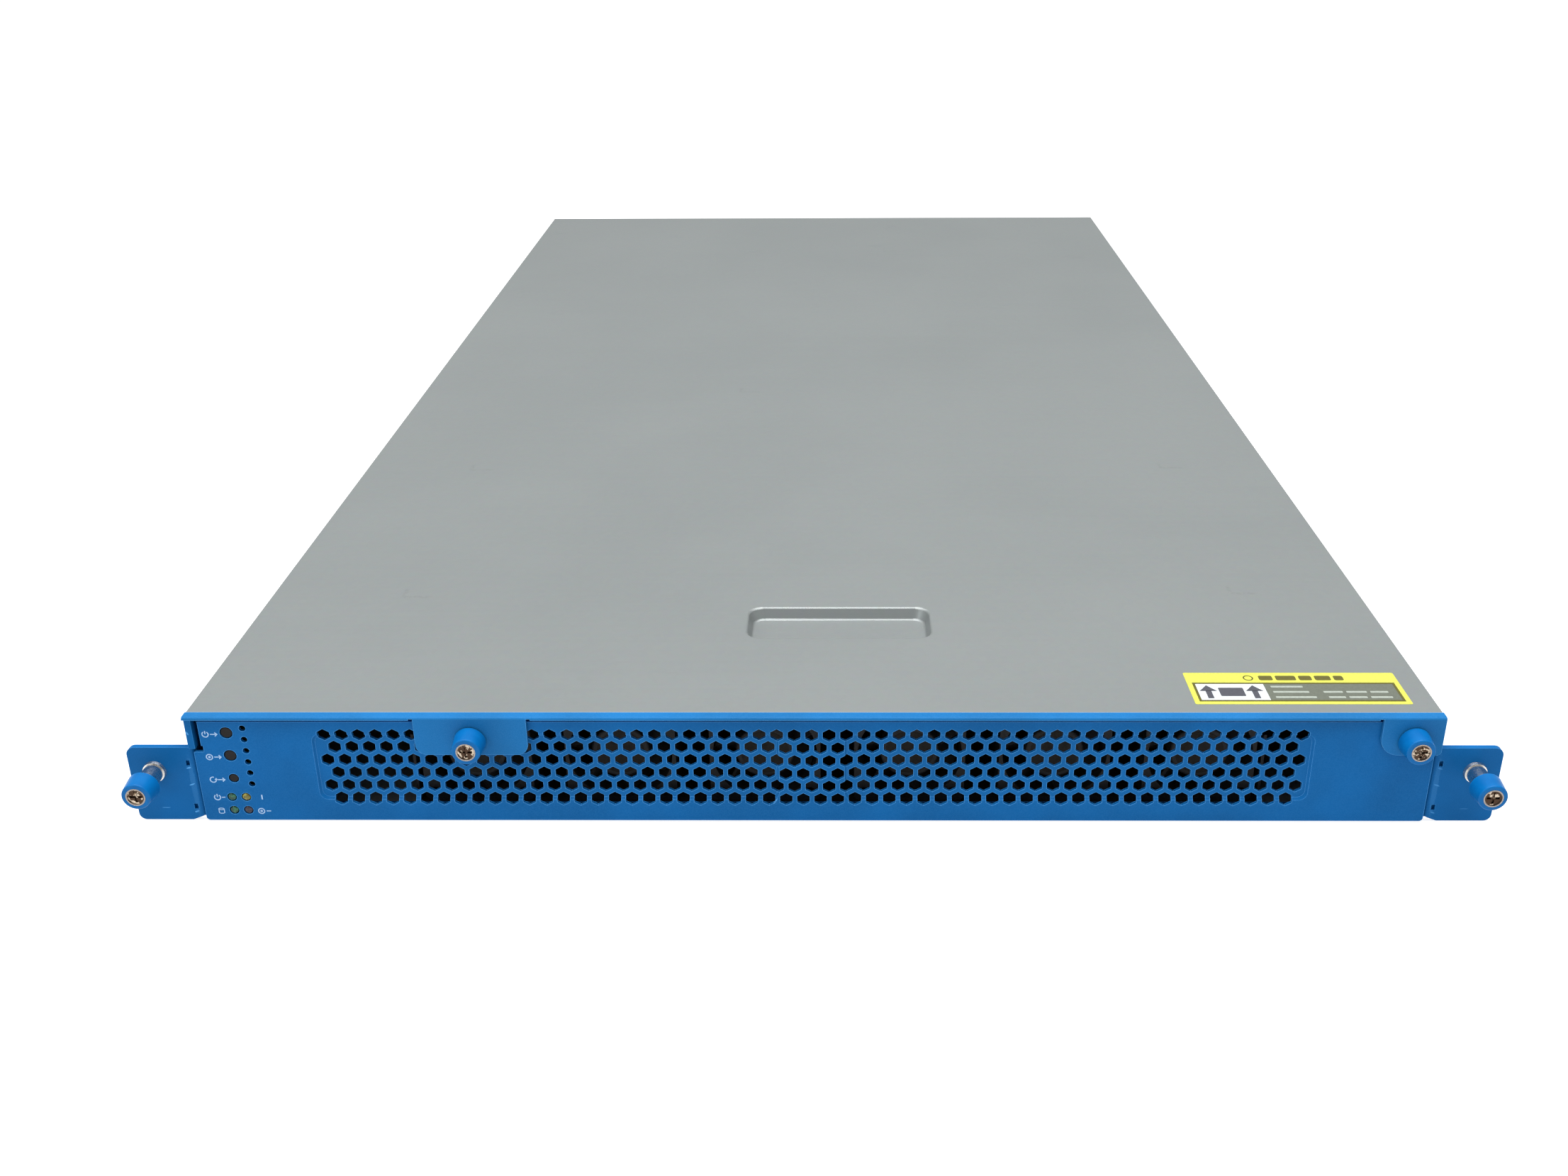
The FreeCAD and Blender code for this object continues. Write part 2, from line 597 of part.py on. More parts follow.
def led_lens(x, z):
    body = rod_y(x, z, LED_R, PANEL_FRONT - 0.1, BOARD_FRONT)
    front_edge = [e for e in body.Edges if e.BoundBox.YMax < PANEL_FRONT and len(e.Vertexes) == 1]
    return body.makeFillet(0.9, front_edge)


# Fans

def fan_x(index):
    return FAN_CENTRE_X + (index - (FAN_COUNT - 1) / 2) * FAN_PITCH


FAN_Z = FAN_BOTTOM + FAN_SIZE / 2


def fan_frame(x):
    half = FAN_SIZE / 2
    back = FAN_FRONT + FAN_LENGTH
    body = plate_y(rounded_rectangle(x - half, x + half, FAN_Z - half, FAN_Z + half, 2.5), FAN_FRONT, back)
    body = body.cut(rod_y(x, FAN_Z, DUCT_R, FAN_FRONT - 1, back + 1))
    spokes = [box(x - half + 1, x + half - 1, back - 4, back - 1, FAN_Z - 1.2, FAN_Z + 1.2),
              box(x - 1.2, x + 1.2, back - 4, back - 1, FAN_Z - half + 1, FAN_Z + half - 1)]
    motor = rod_y(x, FAN_Z, 9.0, back - 5, back - 1)
    pin = rod_y(x, FAN_Z, PIN_R, FAN_FRONT + 3, back - 4)
    frame = fuse([body] + spokes + [motor, pin])
    corners = [rod_y(x + sx * (half - 3.8), FAN_Z + sz * (half - 3.8), 1.9, FAN_FRONT - 1, back + 1)
               for sx in (-1, 1) for sz in (-1, 1)]
    return cut(frame, corners)


def fan_frames():
    return Part.makeCompound([fan_frame(fan_x(i)) for i in range(FAN_COUNT)])


def rotor(x, z, hub_r, tip_r, y0, y1, blades, bore):
    """A fan wheel: a hub with pitched blades and a blind bore for its pin, from y = bore[0] to bore[1]."""
    hub = rod_y(x, z, hub_r, y0, y1)
    rim = [e for e in hub.Edges if e.BoundBox.YMax < y0 + 0.01 and len(e.Vertexes) == 1]
    hub = hub.makeFillet(1.0, rim)
    middle = (y0 + y1) / 2
    chord = (y1 - y0) - 1.5
    wheel = [hub]
    for i in range(blades):
        blade = box(-0.6, 0.6, -chord / 2, chord / 2, hub_r - 0.5, tip_r + 2)
        blade.rotate(V(0, 0, 0), V(0, 0, 1), 38)
        blade.translate(V(x, middle, z))
        blade.rotate(V(x, middle, z), V(0, 1, 0), 360.0 * i / blades)
        wheel.append(blade)
    wheel = fuse(wheel).common(rod_y(x, z, tip_r, y0, y1))
    return wheel.cut(rod_y(x, z, PIN_HOLE_R, *bore))


def fan_rotor(index):
    front = FAN_FRONT + 1.2
    back = FAN_FRONT + 21.0
    return rotor(fan_x(index), FAN_Z, FAN_HUB_R, BLADE_TIP_R, front, back, 7, (front + 1.4, back + 1))


def fan_bracket():
    """A sheet trough that the fans stand in, with a lip behind them."""
    x0 = fan_x(0) - FAN_SIZE / 2 - 2
    x1 = fan_x(FAN_COUNT - 1) + FAN_SIZE / 2 + 2
    back = FAN_FRONT + FAN_LENGTH
    base = box(x0 - 1, x1 + 1, FAN_FRONT - 0.6, back + 1, SHEET, FAN_BOTTOM)
    base = cut(base, [rivet_head(x, y, RIVET_R + 0.05, BASE_TOP) for x, y in rivet_places()])
    ends = [box(x0 - 1, x0, FAN_FRONT, back + 1, SHEET, 30), box(x1, x1 + 1, FAN_FRONT, back + 1, SHEET, 30)]
    lip = box(x0 - 1, x1 + 1, back, back + 1, SHEET, 6)
    return fuse([base, lip] + ends)


# Inside

def main_board():
    x0, x1, y0, y1 = MAIN_BOARD
    board = box(x0, x1, y0, y1, MAIN_BOARD_Z, MAIN_BOARD_Z + 1.6)
    top = MAIN_BOARD_Z + 1.6
    chips = [box(100, 118, 690, 708, top, top + 1.5), box(-40, -10, 560, 590, top, top + 2),
             box(150, 172, 640, 662, top, top + 1.5), box(-50, 20, y0 + 4, y0 + 12, top, top + 9),
             box(180, 200, y0 + 30, y0 + 90, top, top + 8)]
    return fuse([board] + chips)


def standoff_places():
    x0, x1, y0, y1 = MAIN_BOARD
    return [(x, y) for x in (x0 + 8, (x0 + x1) / 2, x1 - 8) for y in (y0 + 8, (y0 + y1) / 2, y1 - 40)]


def standoffs():
    """Pressed-in pillars under the main board, their shanks flush in the tray's floor."""
    return Part.makeCompound([fuse([rod_z(x, y, 3.0, SHEET, MAIN_BOARD_Z), rod_z(x, y, PILLAR_R, 0.1, SHEET)])
                              for x, y in standoff_places()])


def heatsink():
    x0, x1, y0, y1 = 30.0, 120.0, 470.0, 570.0
    bottom = MAIN_BOARD_Z + 1.6
    base = box(x0, x1, y0, y1, bottom, bottom + 5)
    fins = []
    count = 22
    for i in range(count):
        x = x0 + 1 + i * (x1 - x0 - 2.8) / (count - 1)
        fins.append(box(x, x + 0.8, y0, y1, bottom + 4.5, 39.0))
    return fuse([base] + fins)


def memory_modules():
    """Four memory modules standing in their sockets."""
    modules = []
    bottom = MAIN_BOARD_Z + 1.6
    for x in (-44.0, -34.0, -24.0, -14.0):
        socket = box(x - 3.2, x + 3.2, 398, 542, bottom, bottom + 6)
        card = box(x - 0.7, x + 0.7, 403.5, 536.5, bottom + 5, bottom + 31)
        modules.append(fuse([socket, card]))
    return Part.makeCompound(modules)


def storage_drive():
    return plate_z(rounded_rectangle(-200.0, -130.0, 400.0, 500.0, 2.0), SHEET, SHEET + 7.0)


# Back

def jack_cavity(x, z0):
    """The opening of a modular jack, with the keyway for its plug's latch above."""
    y0 = PORT_BACK - JACK_DEPTH
    return fuse([box(x - JACK_WIDTH / 2, x + JACK_WIDTH / 2, y0, PORT_BACK + 1, z0, z0 + JACK_HEIGHT),
                 box(x - 3.0, x + 3.0, y0, PORT_BACK + 1, z0 + JACK_HEIGHT - 0.5, z0 + JACK_HEIGHT + 2.2)])


def lan_x(index):
    return (LAN_X[0] + LAN_X[1]) / 2 + (index - (LAN_COUNT - 1) / 2) * LAN_PITCH


def lan_port_block():
    block = box(LAN_X[0], LAN_X[1], PORT_FRONT, PORT_BACK, PORT_Z[0], PORT_Z[1])
    return cut(block, [jack_cavity(lan_x(i), PORT_Z[0] + 2.0) for i in range(LAN_COUNT)])


def service_port_block():
    """A console jack and a flat serial-bus socket with its tongue."""
    block = box(SERVICE_X[0], SERVICE_X[1], PORT_FRONT, PORT_BACK, PORT_Z[0], PORT_Z[1])
    x = SERVICE_X[1] - 9.0
    socket = box(x - 6.6, x + 6.6, PORT_BACK - 12, PORT_BACK + 1, 14.0, 20.6)
    tongue = box(x - 5.6, x + 5.6, PORT_BACK - 12.5, PORT_BACK - 1.5, 18.6, 20.0)
    return fuse([cut(block, [jack_cavity(SERVICE_X[0] + 8.5, PORT_Z[0] + 2.0), socket]), tongue])


def sfp_cages():
    cages = []
    for x in SFP_X:
        half = SFP_SIZE[0] / 2
        outer = box(x - half, x + half, PORT_BACK - SFP_LENGTH, PORT_BACK + 1.0,
                    PORT_Z[0], PORT_Z[0] + SFP_SIZE[1])
        inner = box(x - half + 0.4, x + half - 0.4, PORT_BACK - SFP_LENGTH + 0.4, PORT_BACK + 2,
                    PORT_Z[0] + 0.4, PORT_Z[0] + SFP_SIZE[1] - 0.4)
        cages.append(outer.cut(inner))
    return Part.makeCompound(cages)


def psu_bay():
    """The sheet guides of the power supply bays, joined by their stop at the front."""
    top = PSU_TOP - 1
    divider_x = (PSU_X["psu_a"] + PSU_X["psu_b"]) / 2
    right_x = PSU_X["psu_b"] + PSU_WIDTH / 2 + 1.4
    stop_y = PSU_FRONT - 1.4
    left_x = -TRAY_HALF + SHEET + 0.2
    foot = box(left_x, right_x + 0.5, stop_y - 20, stop_y + 1, SHEET, BASE_TOP)
    foot = cut(foot, [rivet_head(x, y, RIVET_R + 0.05, BASE_TOP) for x, y in rivet_places()])
    return fuse([box(divider_x - 0.5, divider_x + 0.5, stop_y, REAR_FRONT - 0.1, SHEET, top),
                 box(right_x - 0.5, right_x + 0.5, stop_y, REAR_FRONT - 0.1, SHEET, top),
                 box(left_x, right_x + 0.5, stop_y, stop_y + 1, SHEET, 14), foot])


def psu_z():
    return (PSU_BOTTOM + PSU_TOP) / 2


def psu_housing(centre):
    half = PSU_WIDTH / 2
    outer = box(centre - half, centre + half, PSU_FRONT, PSU_BACK, PSU_BOTTOM, PSU_TOP)
    inner = box(centre - half + PSU_SHEET, centre + half - PSU_SHEET, PSU_FRONT + PSU_SHEET,
                PSU_BACK - PSU_SHEET, PSU_BOTTOM + PSU_SHEET, PSU_TOP - PSU_SHEET)
    shell = outer.cut(inner)
    fan_x_at = centre + GRILLE_U
    strut_y = LATCH_PIVOT_Y - 20.0
    strut = box(fan_x_at - 2, fan_x_at + 2, strut_y, strut_y + 3, PSU_BOTTOM + 0.2, PSU_TOP - 0.2)
    pin = rod_y(fan_x_at, psu_z(), PIN_R, strut_y + 1, LATCH_PIVOT_Y - 4)
    shell = fuse([shell, strut, pin])
    holes = [box(centre + INLET_U - 13.9, centre + INLET_U + 13.9, PSU_BACK - 2, PSU_BACK + 1,
                 INLET_Z - 12.0, INLET_Z + 12.0),
             box(centre + LATCH_U - 4.2, centre + LATCH_U + 1.3, PSU_BACK - 2, PSU_BACK + 1, 12.6, 29.4)]
    pitch = 5.0
    reach = 3
    for row in range(-reach, reach + 1):
        for column in range(-reach, reach + 1):
            u = column * pitch + (row % 2) * pitch / 2
            w = row * pitch * 0.866
            if math.hypot(u, w) < GRILLE_R - 1.5:
                holes.append(hex_y(fan_x_at + u, psu_z() + w, 4.0, PSU_BACK - 2, PSU_BACK + 1))
    for i in range(8):
        y = PSU_FRONT - 1
        x = centre - 28 + i * 8
        holes.append(rod_y(x, 12.0, 2.2, y, y + 3))
        holes.append(rod_y(x, 26.0, 2.2, y, y + 3))
    return cut(shell, holes)


def psu_inlet(centre):
    """A three-pin mains inlet: a moulded box with a cavity and its pins."""
    x = centre + INLET_U
    z = INLET_Z
    body = box(x - 13.8, x + 13.8, PSU_BACK - 18, PSU_BACK, z - 11.9, z + 11.9)
    lip = plate_y(rounded_rectangle(x - 14.0, x + 14.0, z - 12.4, z + 12.4, 1.5), PSU_BACK, PSU_BACK + 1.5)
    cavity_outline = [(x - 12.0, z - 8.2, 2.0), (x + 12.0, z - 8.2, 2.0), (x + 12.0, z + 3.2, 0.5),
                      (x + 7.0, z + 8.2, 0.5), (x - 7.0, z + 8.2, 0.5), (x - 12.0, z + 3.2, 0.5)]
    cavity = plate_y(cavity_outline, PSU_BACK - 15, PSU_BACK + 2)
    pins = [box(x + u - 1.0, x + u + 1.0, PSU_BACK - 16, PSU_BACK - 4, z + w - 2.0, z + w + 2.0)
            for u, w in ((-7.0, -2.0), (0.0, 2.0), (7.0, -2.0))]
    return fuse([body, lip]).cut(cavity).multiFuse(pins)


def psu_handle(centre):
    """A D-shaped pull handle standing behind the supply."""
    x = centre + HANDLE_U
    y0 = PSU_BACK
    y1 = y0 + 22.0
    z0, z1 = 5.0, 37.6
    outline_outer = [(y0, z0, 0), (y1, z0, 7.0), (y1, z1, 7.0), (y0, z1, 0)]
    outline_inner = [(y0 - 1, z0 + 3.6, 0), (y1 - 3.6, z0 + 3.6, 4.0), (y1 - 3.6, z1 - 3.6, 4.0),
                     (y0 - 1, z1 - 3.6, 0)]
    width = 4.4

    def side(u, v):
        return V(x - width / 2, u, v)

    outer = Part.Face(rounded_outline(outline_outer, side)).extrude(V(width, 0, 0))
    inner = Part.Face(rounded_outline(outline_inner, side)).extrude(V(width, 0, 0))
    handle = outer.cut(inner)
    long_edges = [e for e in handle.Edges if e.BoundBox.XLength < 1e-6 and e.BoundBox.YMin > y0 + 0.5]
    return handle.makeFillet(0.8, long_edges)


def psu_latch(centre):
    """The sprung lever that is pressed towards the handle to free the supply."""
    x = centre + LATCH_U
    end = PSU_BACK + 12.4
    lever = box(x - 0.8, x + 0.8, LATCH_PIVOT_Y - 5, end, 14.0, 28.0)
    eye = rod_z(x - 0.2, LATCH_PIVOT_Y, 1.6, 14.0, 28.0)
    pad = plate_z(rounded_rectangle(x - 2.4, x + 1.8, end - 4.0, end, 0.8), 14.0, 28.0)
    return fuse([lever, eye, pad])


def psu_fan_rotor(centre):
    front = LATCH_PIVOT_Y - 14.5
    back = LATCH_PIVOT_Y - 1.5
    return rotor(centre + GRILLE_U, psu_z(), 6.5, 14.2, front, back, 5, (front - 1, back - 1.5))


def nodes():
    """Every sub-part by its name."""
    parts = {
        "chassis_tray": chassis_tray(),
        "rear_panel": rear_panel(),
        "front_panel": front_panel(),
        "rack_ear_right": rack_ear_right(),
        "rack_ear_left": mirror_x(rack_ear_right()),
        "chassis_fasteners": chassis_fasteners(),
        "top_cover": top_cover(),
        "cover_front_rail": cover_front_rail(),
        "cover_label": cover_label(),
        "ear_ferrules": ear_ferrules(),
        "cover_ferrules": cover_ferrules(),
        "control_board": control_board(),
        "button_switches": button_switches(),
        "power_button": button(POWER_AT, BUTTON_R),
        "id_button": button(ID_AT, BUTTON_R),
        "reset_button": button(RESET_AT, RESET_R),
        "led_lenses_green": Part.makeCompound([led_lens(LED_X[0], z) for z in LED_Z]),
        "led_lens_yellow": led_lens(LED_X[1], LED_Z[0]),
        "led_lens_blue": led_lens(LED_X[1], LED_Z[1]),
        "fan_bracket": fan_bracket(),
        "fan_frames": fan_frames(),
        "main_board": main_board(),
        "board_standoffs": standoffs(),
        "heatsink": heatsink(),
        "memory_modules": memory_modules(),
        "storage_drive": storage_drive(),
        "lan_port_block": lan_port_block(),
        "service_port_block": service_port_block(),
        "sfp_cages": sfp_cages(),
        "psu_bay": psu_bay(),
    }
    for side, x in (("left", -EAR_SCREW_X), ("right", EAR_SCREW_X)):
        parts["ear_screw_" + side + "_knob"] = knob(x, EAR_SCREW_Z, EAR_KNOB_RIM)
        parts["ear_screw_" + side + "_stud"] = stud(x, EAR_SCREW_Z, EAR_KNOB_RIM, EAR_BACK - 0.2)
        parts["ear_screw_" + side + "_ring"] = ring(x, EAR_SCREW_Z, 3.05)
        parts["ear_screw_" + side + "_spring"] = ear_spring(x)
    for side, x in (("left", COVER_SCREW_LEFT_X), ("right", COVER_SCREW_RIGHT_X)):
        parts["cover_screw_" + side + "_knob"] = knob(x, COVER_SCREW_Z, COVER_KNOB_RIM)
        parts["cover_screw_" + side + "_stud"] = stud(x, COVER_SCREW_Z, COVER_KNOB_RIM, 5.6)
        parts["cover_screw_" + side + "_ring"] = ring(x, COVER_SCREW_Z, -1.4)
    for index in range(FAN_COUNT):
        parts["fan_rotor_" + str(index + 1)] = fan_rotor(index)
    for name, centre in PSU_X.items():
        parts[name + "_housing"] = psu_housing(centre)
        parts[name + "_inlet"] = psu_inlet(centre)
        parts[name + "_handle"] = psu_handle(centre)
        parts[name + "_latch"] = psu_latch(centre)
        parts[name + "_fan_rotor"] = psu_fan_rotor(centre)
    return parts


os.makedirs("parts", exist_ok=True)
for node, shape in nodes().items():
    shape.translate(V(0, -ORIGIN_Y, 0))
    shape.exportStep("parts/" + node + ".step")
    low = shape.BoundBox
    print(node, len(shape.Solids), "solids", shape.isValid(), round(shape.Volume, 1), "mm3",
          [round(v, 2) for v in (low.XMin, low.YMin, low.ZMin, low.XMax, low.YMax, low.ZMax)])
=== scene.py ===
import json
import math

import bmesh
import bpy
from mathutils import Matrix, Vector

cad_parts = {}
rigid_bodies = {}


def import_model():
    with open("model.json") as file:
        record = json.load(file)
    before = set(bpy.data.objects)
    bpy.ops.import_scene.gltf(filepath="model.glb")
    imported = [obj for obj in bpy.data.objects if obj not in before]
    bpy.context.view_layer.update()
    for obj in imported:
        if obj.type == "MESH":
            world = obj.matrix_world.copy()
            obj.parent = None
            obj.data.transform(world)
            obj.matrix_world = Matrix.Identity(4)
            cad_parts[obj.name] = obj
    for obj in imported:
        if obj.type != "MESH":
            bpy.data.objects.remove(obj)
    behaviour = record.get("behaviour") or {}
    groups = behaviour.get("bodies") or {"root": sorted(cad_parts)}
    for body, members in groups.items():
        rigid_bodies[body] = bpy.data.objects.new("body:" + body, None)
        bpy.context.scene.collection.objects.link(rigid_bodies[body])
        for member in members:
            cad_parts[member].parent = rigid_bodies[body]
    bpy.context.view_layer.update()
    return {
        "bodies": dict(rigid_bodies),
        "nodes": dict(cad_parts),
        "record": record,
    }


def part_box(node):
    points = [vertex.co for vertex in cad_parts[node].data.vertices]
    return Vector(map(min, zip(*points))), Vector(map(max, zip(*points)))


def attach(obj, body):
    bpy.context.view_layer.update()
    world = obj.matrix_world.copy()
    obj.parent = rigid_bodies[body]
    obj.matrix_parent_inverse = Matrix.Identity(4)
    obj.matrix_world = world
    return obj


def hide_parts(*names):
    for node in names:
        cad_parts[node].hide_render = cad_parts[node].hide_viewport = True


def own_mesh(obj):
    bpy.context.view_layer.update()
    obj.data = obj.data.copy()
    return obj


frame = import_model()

nodes = frame["nodes"]
MM = 0.001


# Where things are, read from the frame, in metres
LIP_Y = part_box("cover_front_rail")[0].y
PANEL_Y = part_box("front_panel")[0].y
BASE_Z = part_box("chassis_tray")[0].z


def centre_mm(node):
    """The middle of a node's box, in millimetres."""
    low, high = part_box(node)
    return (low + high) / 2 / MM


# ---------------------------------------------------------------- materials

class Shader:
    """A node material that is built step by step in the object's own coordinates, in millimetres."""

    def __init__(self, name, colour=(0.5, 0.5, 0.5), roughness=0.5, metallic=0.0, **sockets):
        self.material = bpy.data.materials.new(name)
        self.material.use_nodes = True
        self.tree = self.material.node_tree
        self.surface = self.tree.nodes["Principled BSDF"]
        self.set("Base Color", (*colour, 1.0))
        self.set("Roughness", roughness)
        self.set("Metallic", metallic)
        for socket, value in sockets.items():
            self.set(socket.replace("_", " "), value)
        coordinates = self.new("ShaderNodeTexCoord")
        scale = self.new("ShaderNodeVectorMath", operation="SCALE")
        self.link(coordinates.outputs["Object"], scale.inputs[0])
        scale.inputs["Scale"].default_value = 1 / MM
        self.position = scale.outputs[0]

    def new(self, kind, **settings):
        """A new node of this kind, with its settings."""
        node = self.tree.nodes.new(kind)
        for key, value in settings.items():
            setattr(node, key, value)
        return node

    def link(self, source, target):
        self.tree.links.new(source, target)

    def set(self, socket, value):
        """Sets or links one of the surface shader's own sockets."""
        target = self.surface.inputs[socket]
        if isinstance(value, bpy.types.NodeSocket):
            self.link(value, target)
        else:
            target.default_value = value

    def feed(self, socket, value):
        """Links the value to the socket, or sets it there when it is a plain number or colour."""
        if isinstance(value, bpy.types.NodeSocket):
            self.link(value, socket)
        else:
            socket.default_value = value

    def stretched(self, x, y, z):
        """The position multiplied along each axis, so that a pattern on it is drawn out or squeezed."""
        scale = self.new("ShaderNodeVectorMath", operation="MULTIPLY")
        self.link(self.position, scale.inputs[0])
        scale.inputs[1].default_value = (x, y, z)
        return scale.outputs[0]

    def noise(self, size, detail=3.0, rough=0.55, stretch=None):
        """Noise from 0 to 1, with blotches about `size` millimetres across."""
        node = self.new("ShaderNodeTexNoise")
        node.inputs["Scale"].default_value = 1.0 / size
        node.inputs["Detail"].default_value = detail
        node.inputs["Roughness"].default_value = rough
        self.link(self.stretched(*stretch) if stretch else self.position, node.inputs["Vector"])
        return node.outputs[0]

    def cells(self, size, feature="F1", stretch=None):
        """A cell pattern with cells about `size` millimetres across."""
        node = self.new("ShaderNodeTexVoronoi", feature=feature)
        node.inputs["Scale"].default_value = 1.0 / size
        self.link(self.stretched(*stretch) if stretch else self.position, node.inputs["Vector"])
        return node

    def calc(self, operation, a, b=0.0, c=0.0):
        node = self.new("ShaderNodeMath", operation=operation)
        for socket, value in zip(node.inputs, (a, b, c)):
            self.feed(socket, value)
        return node.outputs[0]

    def span(self, value, low, high):
        """Rises smoothly from 0 at `low` to 1 at `high`; it falls where `low` is the larger."""
        node = self.new("ShaderNodeMapRange")
        node.interpolation_type = "SMOOTHSTEP"
        for socket, number in zip(node.inputs, (value, low, high)):
            self.feed(socket, number)
        return node.outputs[0]

    def mix(self, share, a, b, blend="MIX"):
        node = self.new("ShaderNodeMix", data_type="RGBA", blend_type=blend)
        self.feed(node.inputs[0], share)
        self.feed(node.inputs[6], (*a, 1.0) if isinstance(a, tuple) else a)
        self.feed(node.inputs[7], (*b, 1.0) if isinstance(b, tuple) else b)
        return node.outputs[2]

    def bump(self, height, depth_mm, strength=1.0):
        """Adds relief to the surface; several of these follow one another."""
        node = self.new("ShaderNodeBump")
        node.inputs["Distance"].default_value = depth_mm * MM
        node.inputs["Strength"].default_value = strength
        self.link(height, node.inputs["Height"])
        before = self.surface.inputs["Normal"]
        if before.is_linked:
            self.link(before.links[0].from_socket, node.inputs["Normal"])
        self.link(node.outputs[0], before)

    def axis(self, index):
        """One coordinate of the position, in millimetres: 0 is x, 1 is y, 2 is z."""
        node = self.new("ShaderNodeSeparateXYZ")
        self.link(self.position, node.inputs[0])
        return node.outputs[index]

    # Marks sharp edges. The blue paints and the knob use it to paint highlights onto their edges; the zinc
    # uses it for paler edges.
    def sharp_edge_mask(self, radius_mm):
        """About 1 where a sharp edge is within the radius, 0 on flat ground."""
        bevel = self.new("ShaderNodeBevel", samples=4)
        bevel.inputs["Radius"].default_value = radius_mm * MM
        geometry = self.new("ShaderNodeNewGeometry")
        dot = self.new("ShaderNodeVectorMath", operation="DOT_PRODUCT")
        self.link(bevel.outputs[0], dot.inputs[0])
        self.link(geometry.outputs["Normal"], dot.inputs[1])
        return self.span(dot.outputs["Value"], 0.99, 0.82)


def zinc_sheet(name, light=(0.227, 0.243, 0.242), dark=(0.215, 0.231, 0.231), marks=()):
    """Zinc-plated sheet: satin and even, with very faint clouds, rolling streaks and handling marks."""
    s = Shader(name, metallic=0.50, Specular_IOR_Level=0.3)
    cloud = s.noise(120.0, detail=3.0)
    streak = s.noise(1.0, detail=2.0, stretch=(0.004, 0.7, 0.7))
    spangle = s.cells(2.2).outputs["Color"]
    tone = s.calc("ADD", s.calc("MULTIPLY", cloud, 0.8), s.calc("MULTIPLY", streak, 0.2))
    colour = s.mix(s.span(tone, 0.30, 0.70), dark, light)
    colour = s.mix(0.02, colour, spangle, blend="SOFT_LIGHT")
    smudge = s.span(s.noise(34.0, detail=5.0, rough=0.65), 0.60, 0.76)
    colour = s.mix(s.calc("MULTIPLY", smudge, 0.07), colour, (0.18, 0.20, 0.20))
    scratch = s.span(s.noise(1.0, detail=1.0, stretch=(0.05, 3.0, 3.0)), 0.72, 0.80)
    colour = s.mix(s.calc("MULTIPLY", scratch, 0.06), colour, (0.42, 0.44, 0.44))
    for x, y in marks:
        colour = s.mix(s.calc("MULTIPLY", corner_mark(s, x, y), 0.22), colour, (0.13, 0.14, 0.14))
    edge = s.sharp_edge_mask(0.5)
    colour = s.mix(s.calc("MULTIPLY", edge, 0.45), colour, (0.55, 0.57, 0.56))
    s.set("Base Color", colour)
    rough = s.calc("ADD", s.calc("MULTIPLY", tone, 0.05), s.calc("MULTIPLY", smudge, 0.03))
    s.set("Roughness", s.calc("ADD", rough, 0.40))
    s.bump(streak, 0.0015, 0.25)
    s.bump(s.noise(0.5, detail=2.0), 0.002, 0.25)
    return s.material


def corner_mark(s, x, y):
    """A faint rubbed L, 11 mm across and 7 mm deep, its corner at (x, y) in millimetres."""
    px = s.calc("SUBTRACT", s.axis(0), x)
    py = s.calc("SUBTRACT", s.axis(1), y)
    wobble = s.calc("MULTIPLY", s.calc("SUBTRACT", s.noise(3.0), 0.5), 1.6)

    def bar(along, across, length):
        inside = s.calc("MULTIPLY", s.span(along, -0.8, 0.8), s.span(along, length + 0.8, length - 0.8))
        near = s.span(s.calc("ABSOLUTE", s.calc("ADD", across, wobble)), 1.3, 0.2)
        return s.calc("MULTIPLY", inside, near)

    both = s.calc("MAXIMUM", bar(px, py, 11.0), bar(py, px, 7.0))
    return s.calc("MULTIPLY", both, s.span(s.noise(1.4), 0.35, 0.6))


def patch(s, x, z, half_width, half_height, tilt=0.0):
    """1 inside a ragged oval on the front, its centre at (x, z) in millimetres, tilted in degrees."""
    px = s.calc("SUBTRACT", s.axis(0), x)
    pz = s.calc("SUBTRACT", s.axis(2), z)
    cosine, sine = math.cos(math.radians(tilt)), math.sin(math.radians(tilt))
    along = s.calc("ADD", s.calc("MULTIPLY", px, cosine), s.calc("MULTIPLY", pz, sine))
    across = s.calc("SUBTRACT", s.calc("MULTIPLY", pz, cosine), s.calc("MULTIPLY", px, sine))
    far = s.calc("ADD", s.calc("POWER", s.calc("DIVIDE", along, half_width), 2.0),
                 s.calc("POWER", s.calc("DIVIDE", across, half_height), 2.0))
    ragged = s.calc("ADD", far, s.calc("MULTIPLY_ADD", s.noise(0.5), 1.4, -0.7))
    return s.span(ragged, 1.2, 0.5)


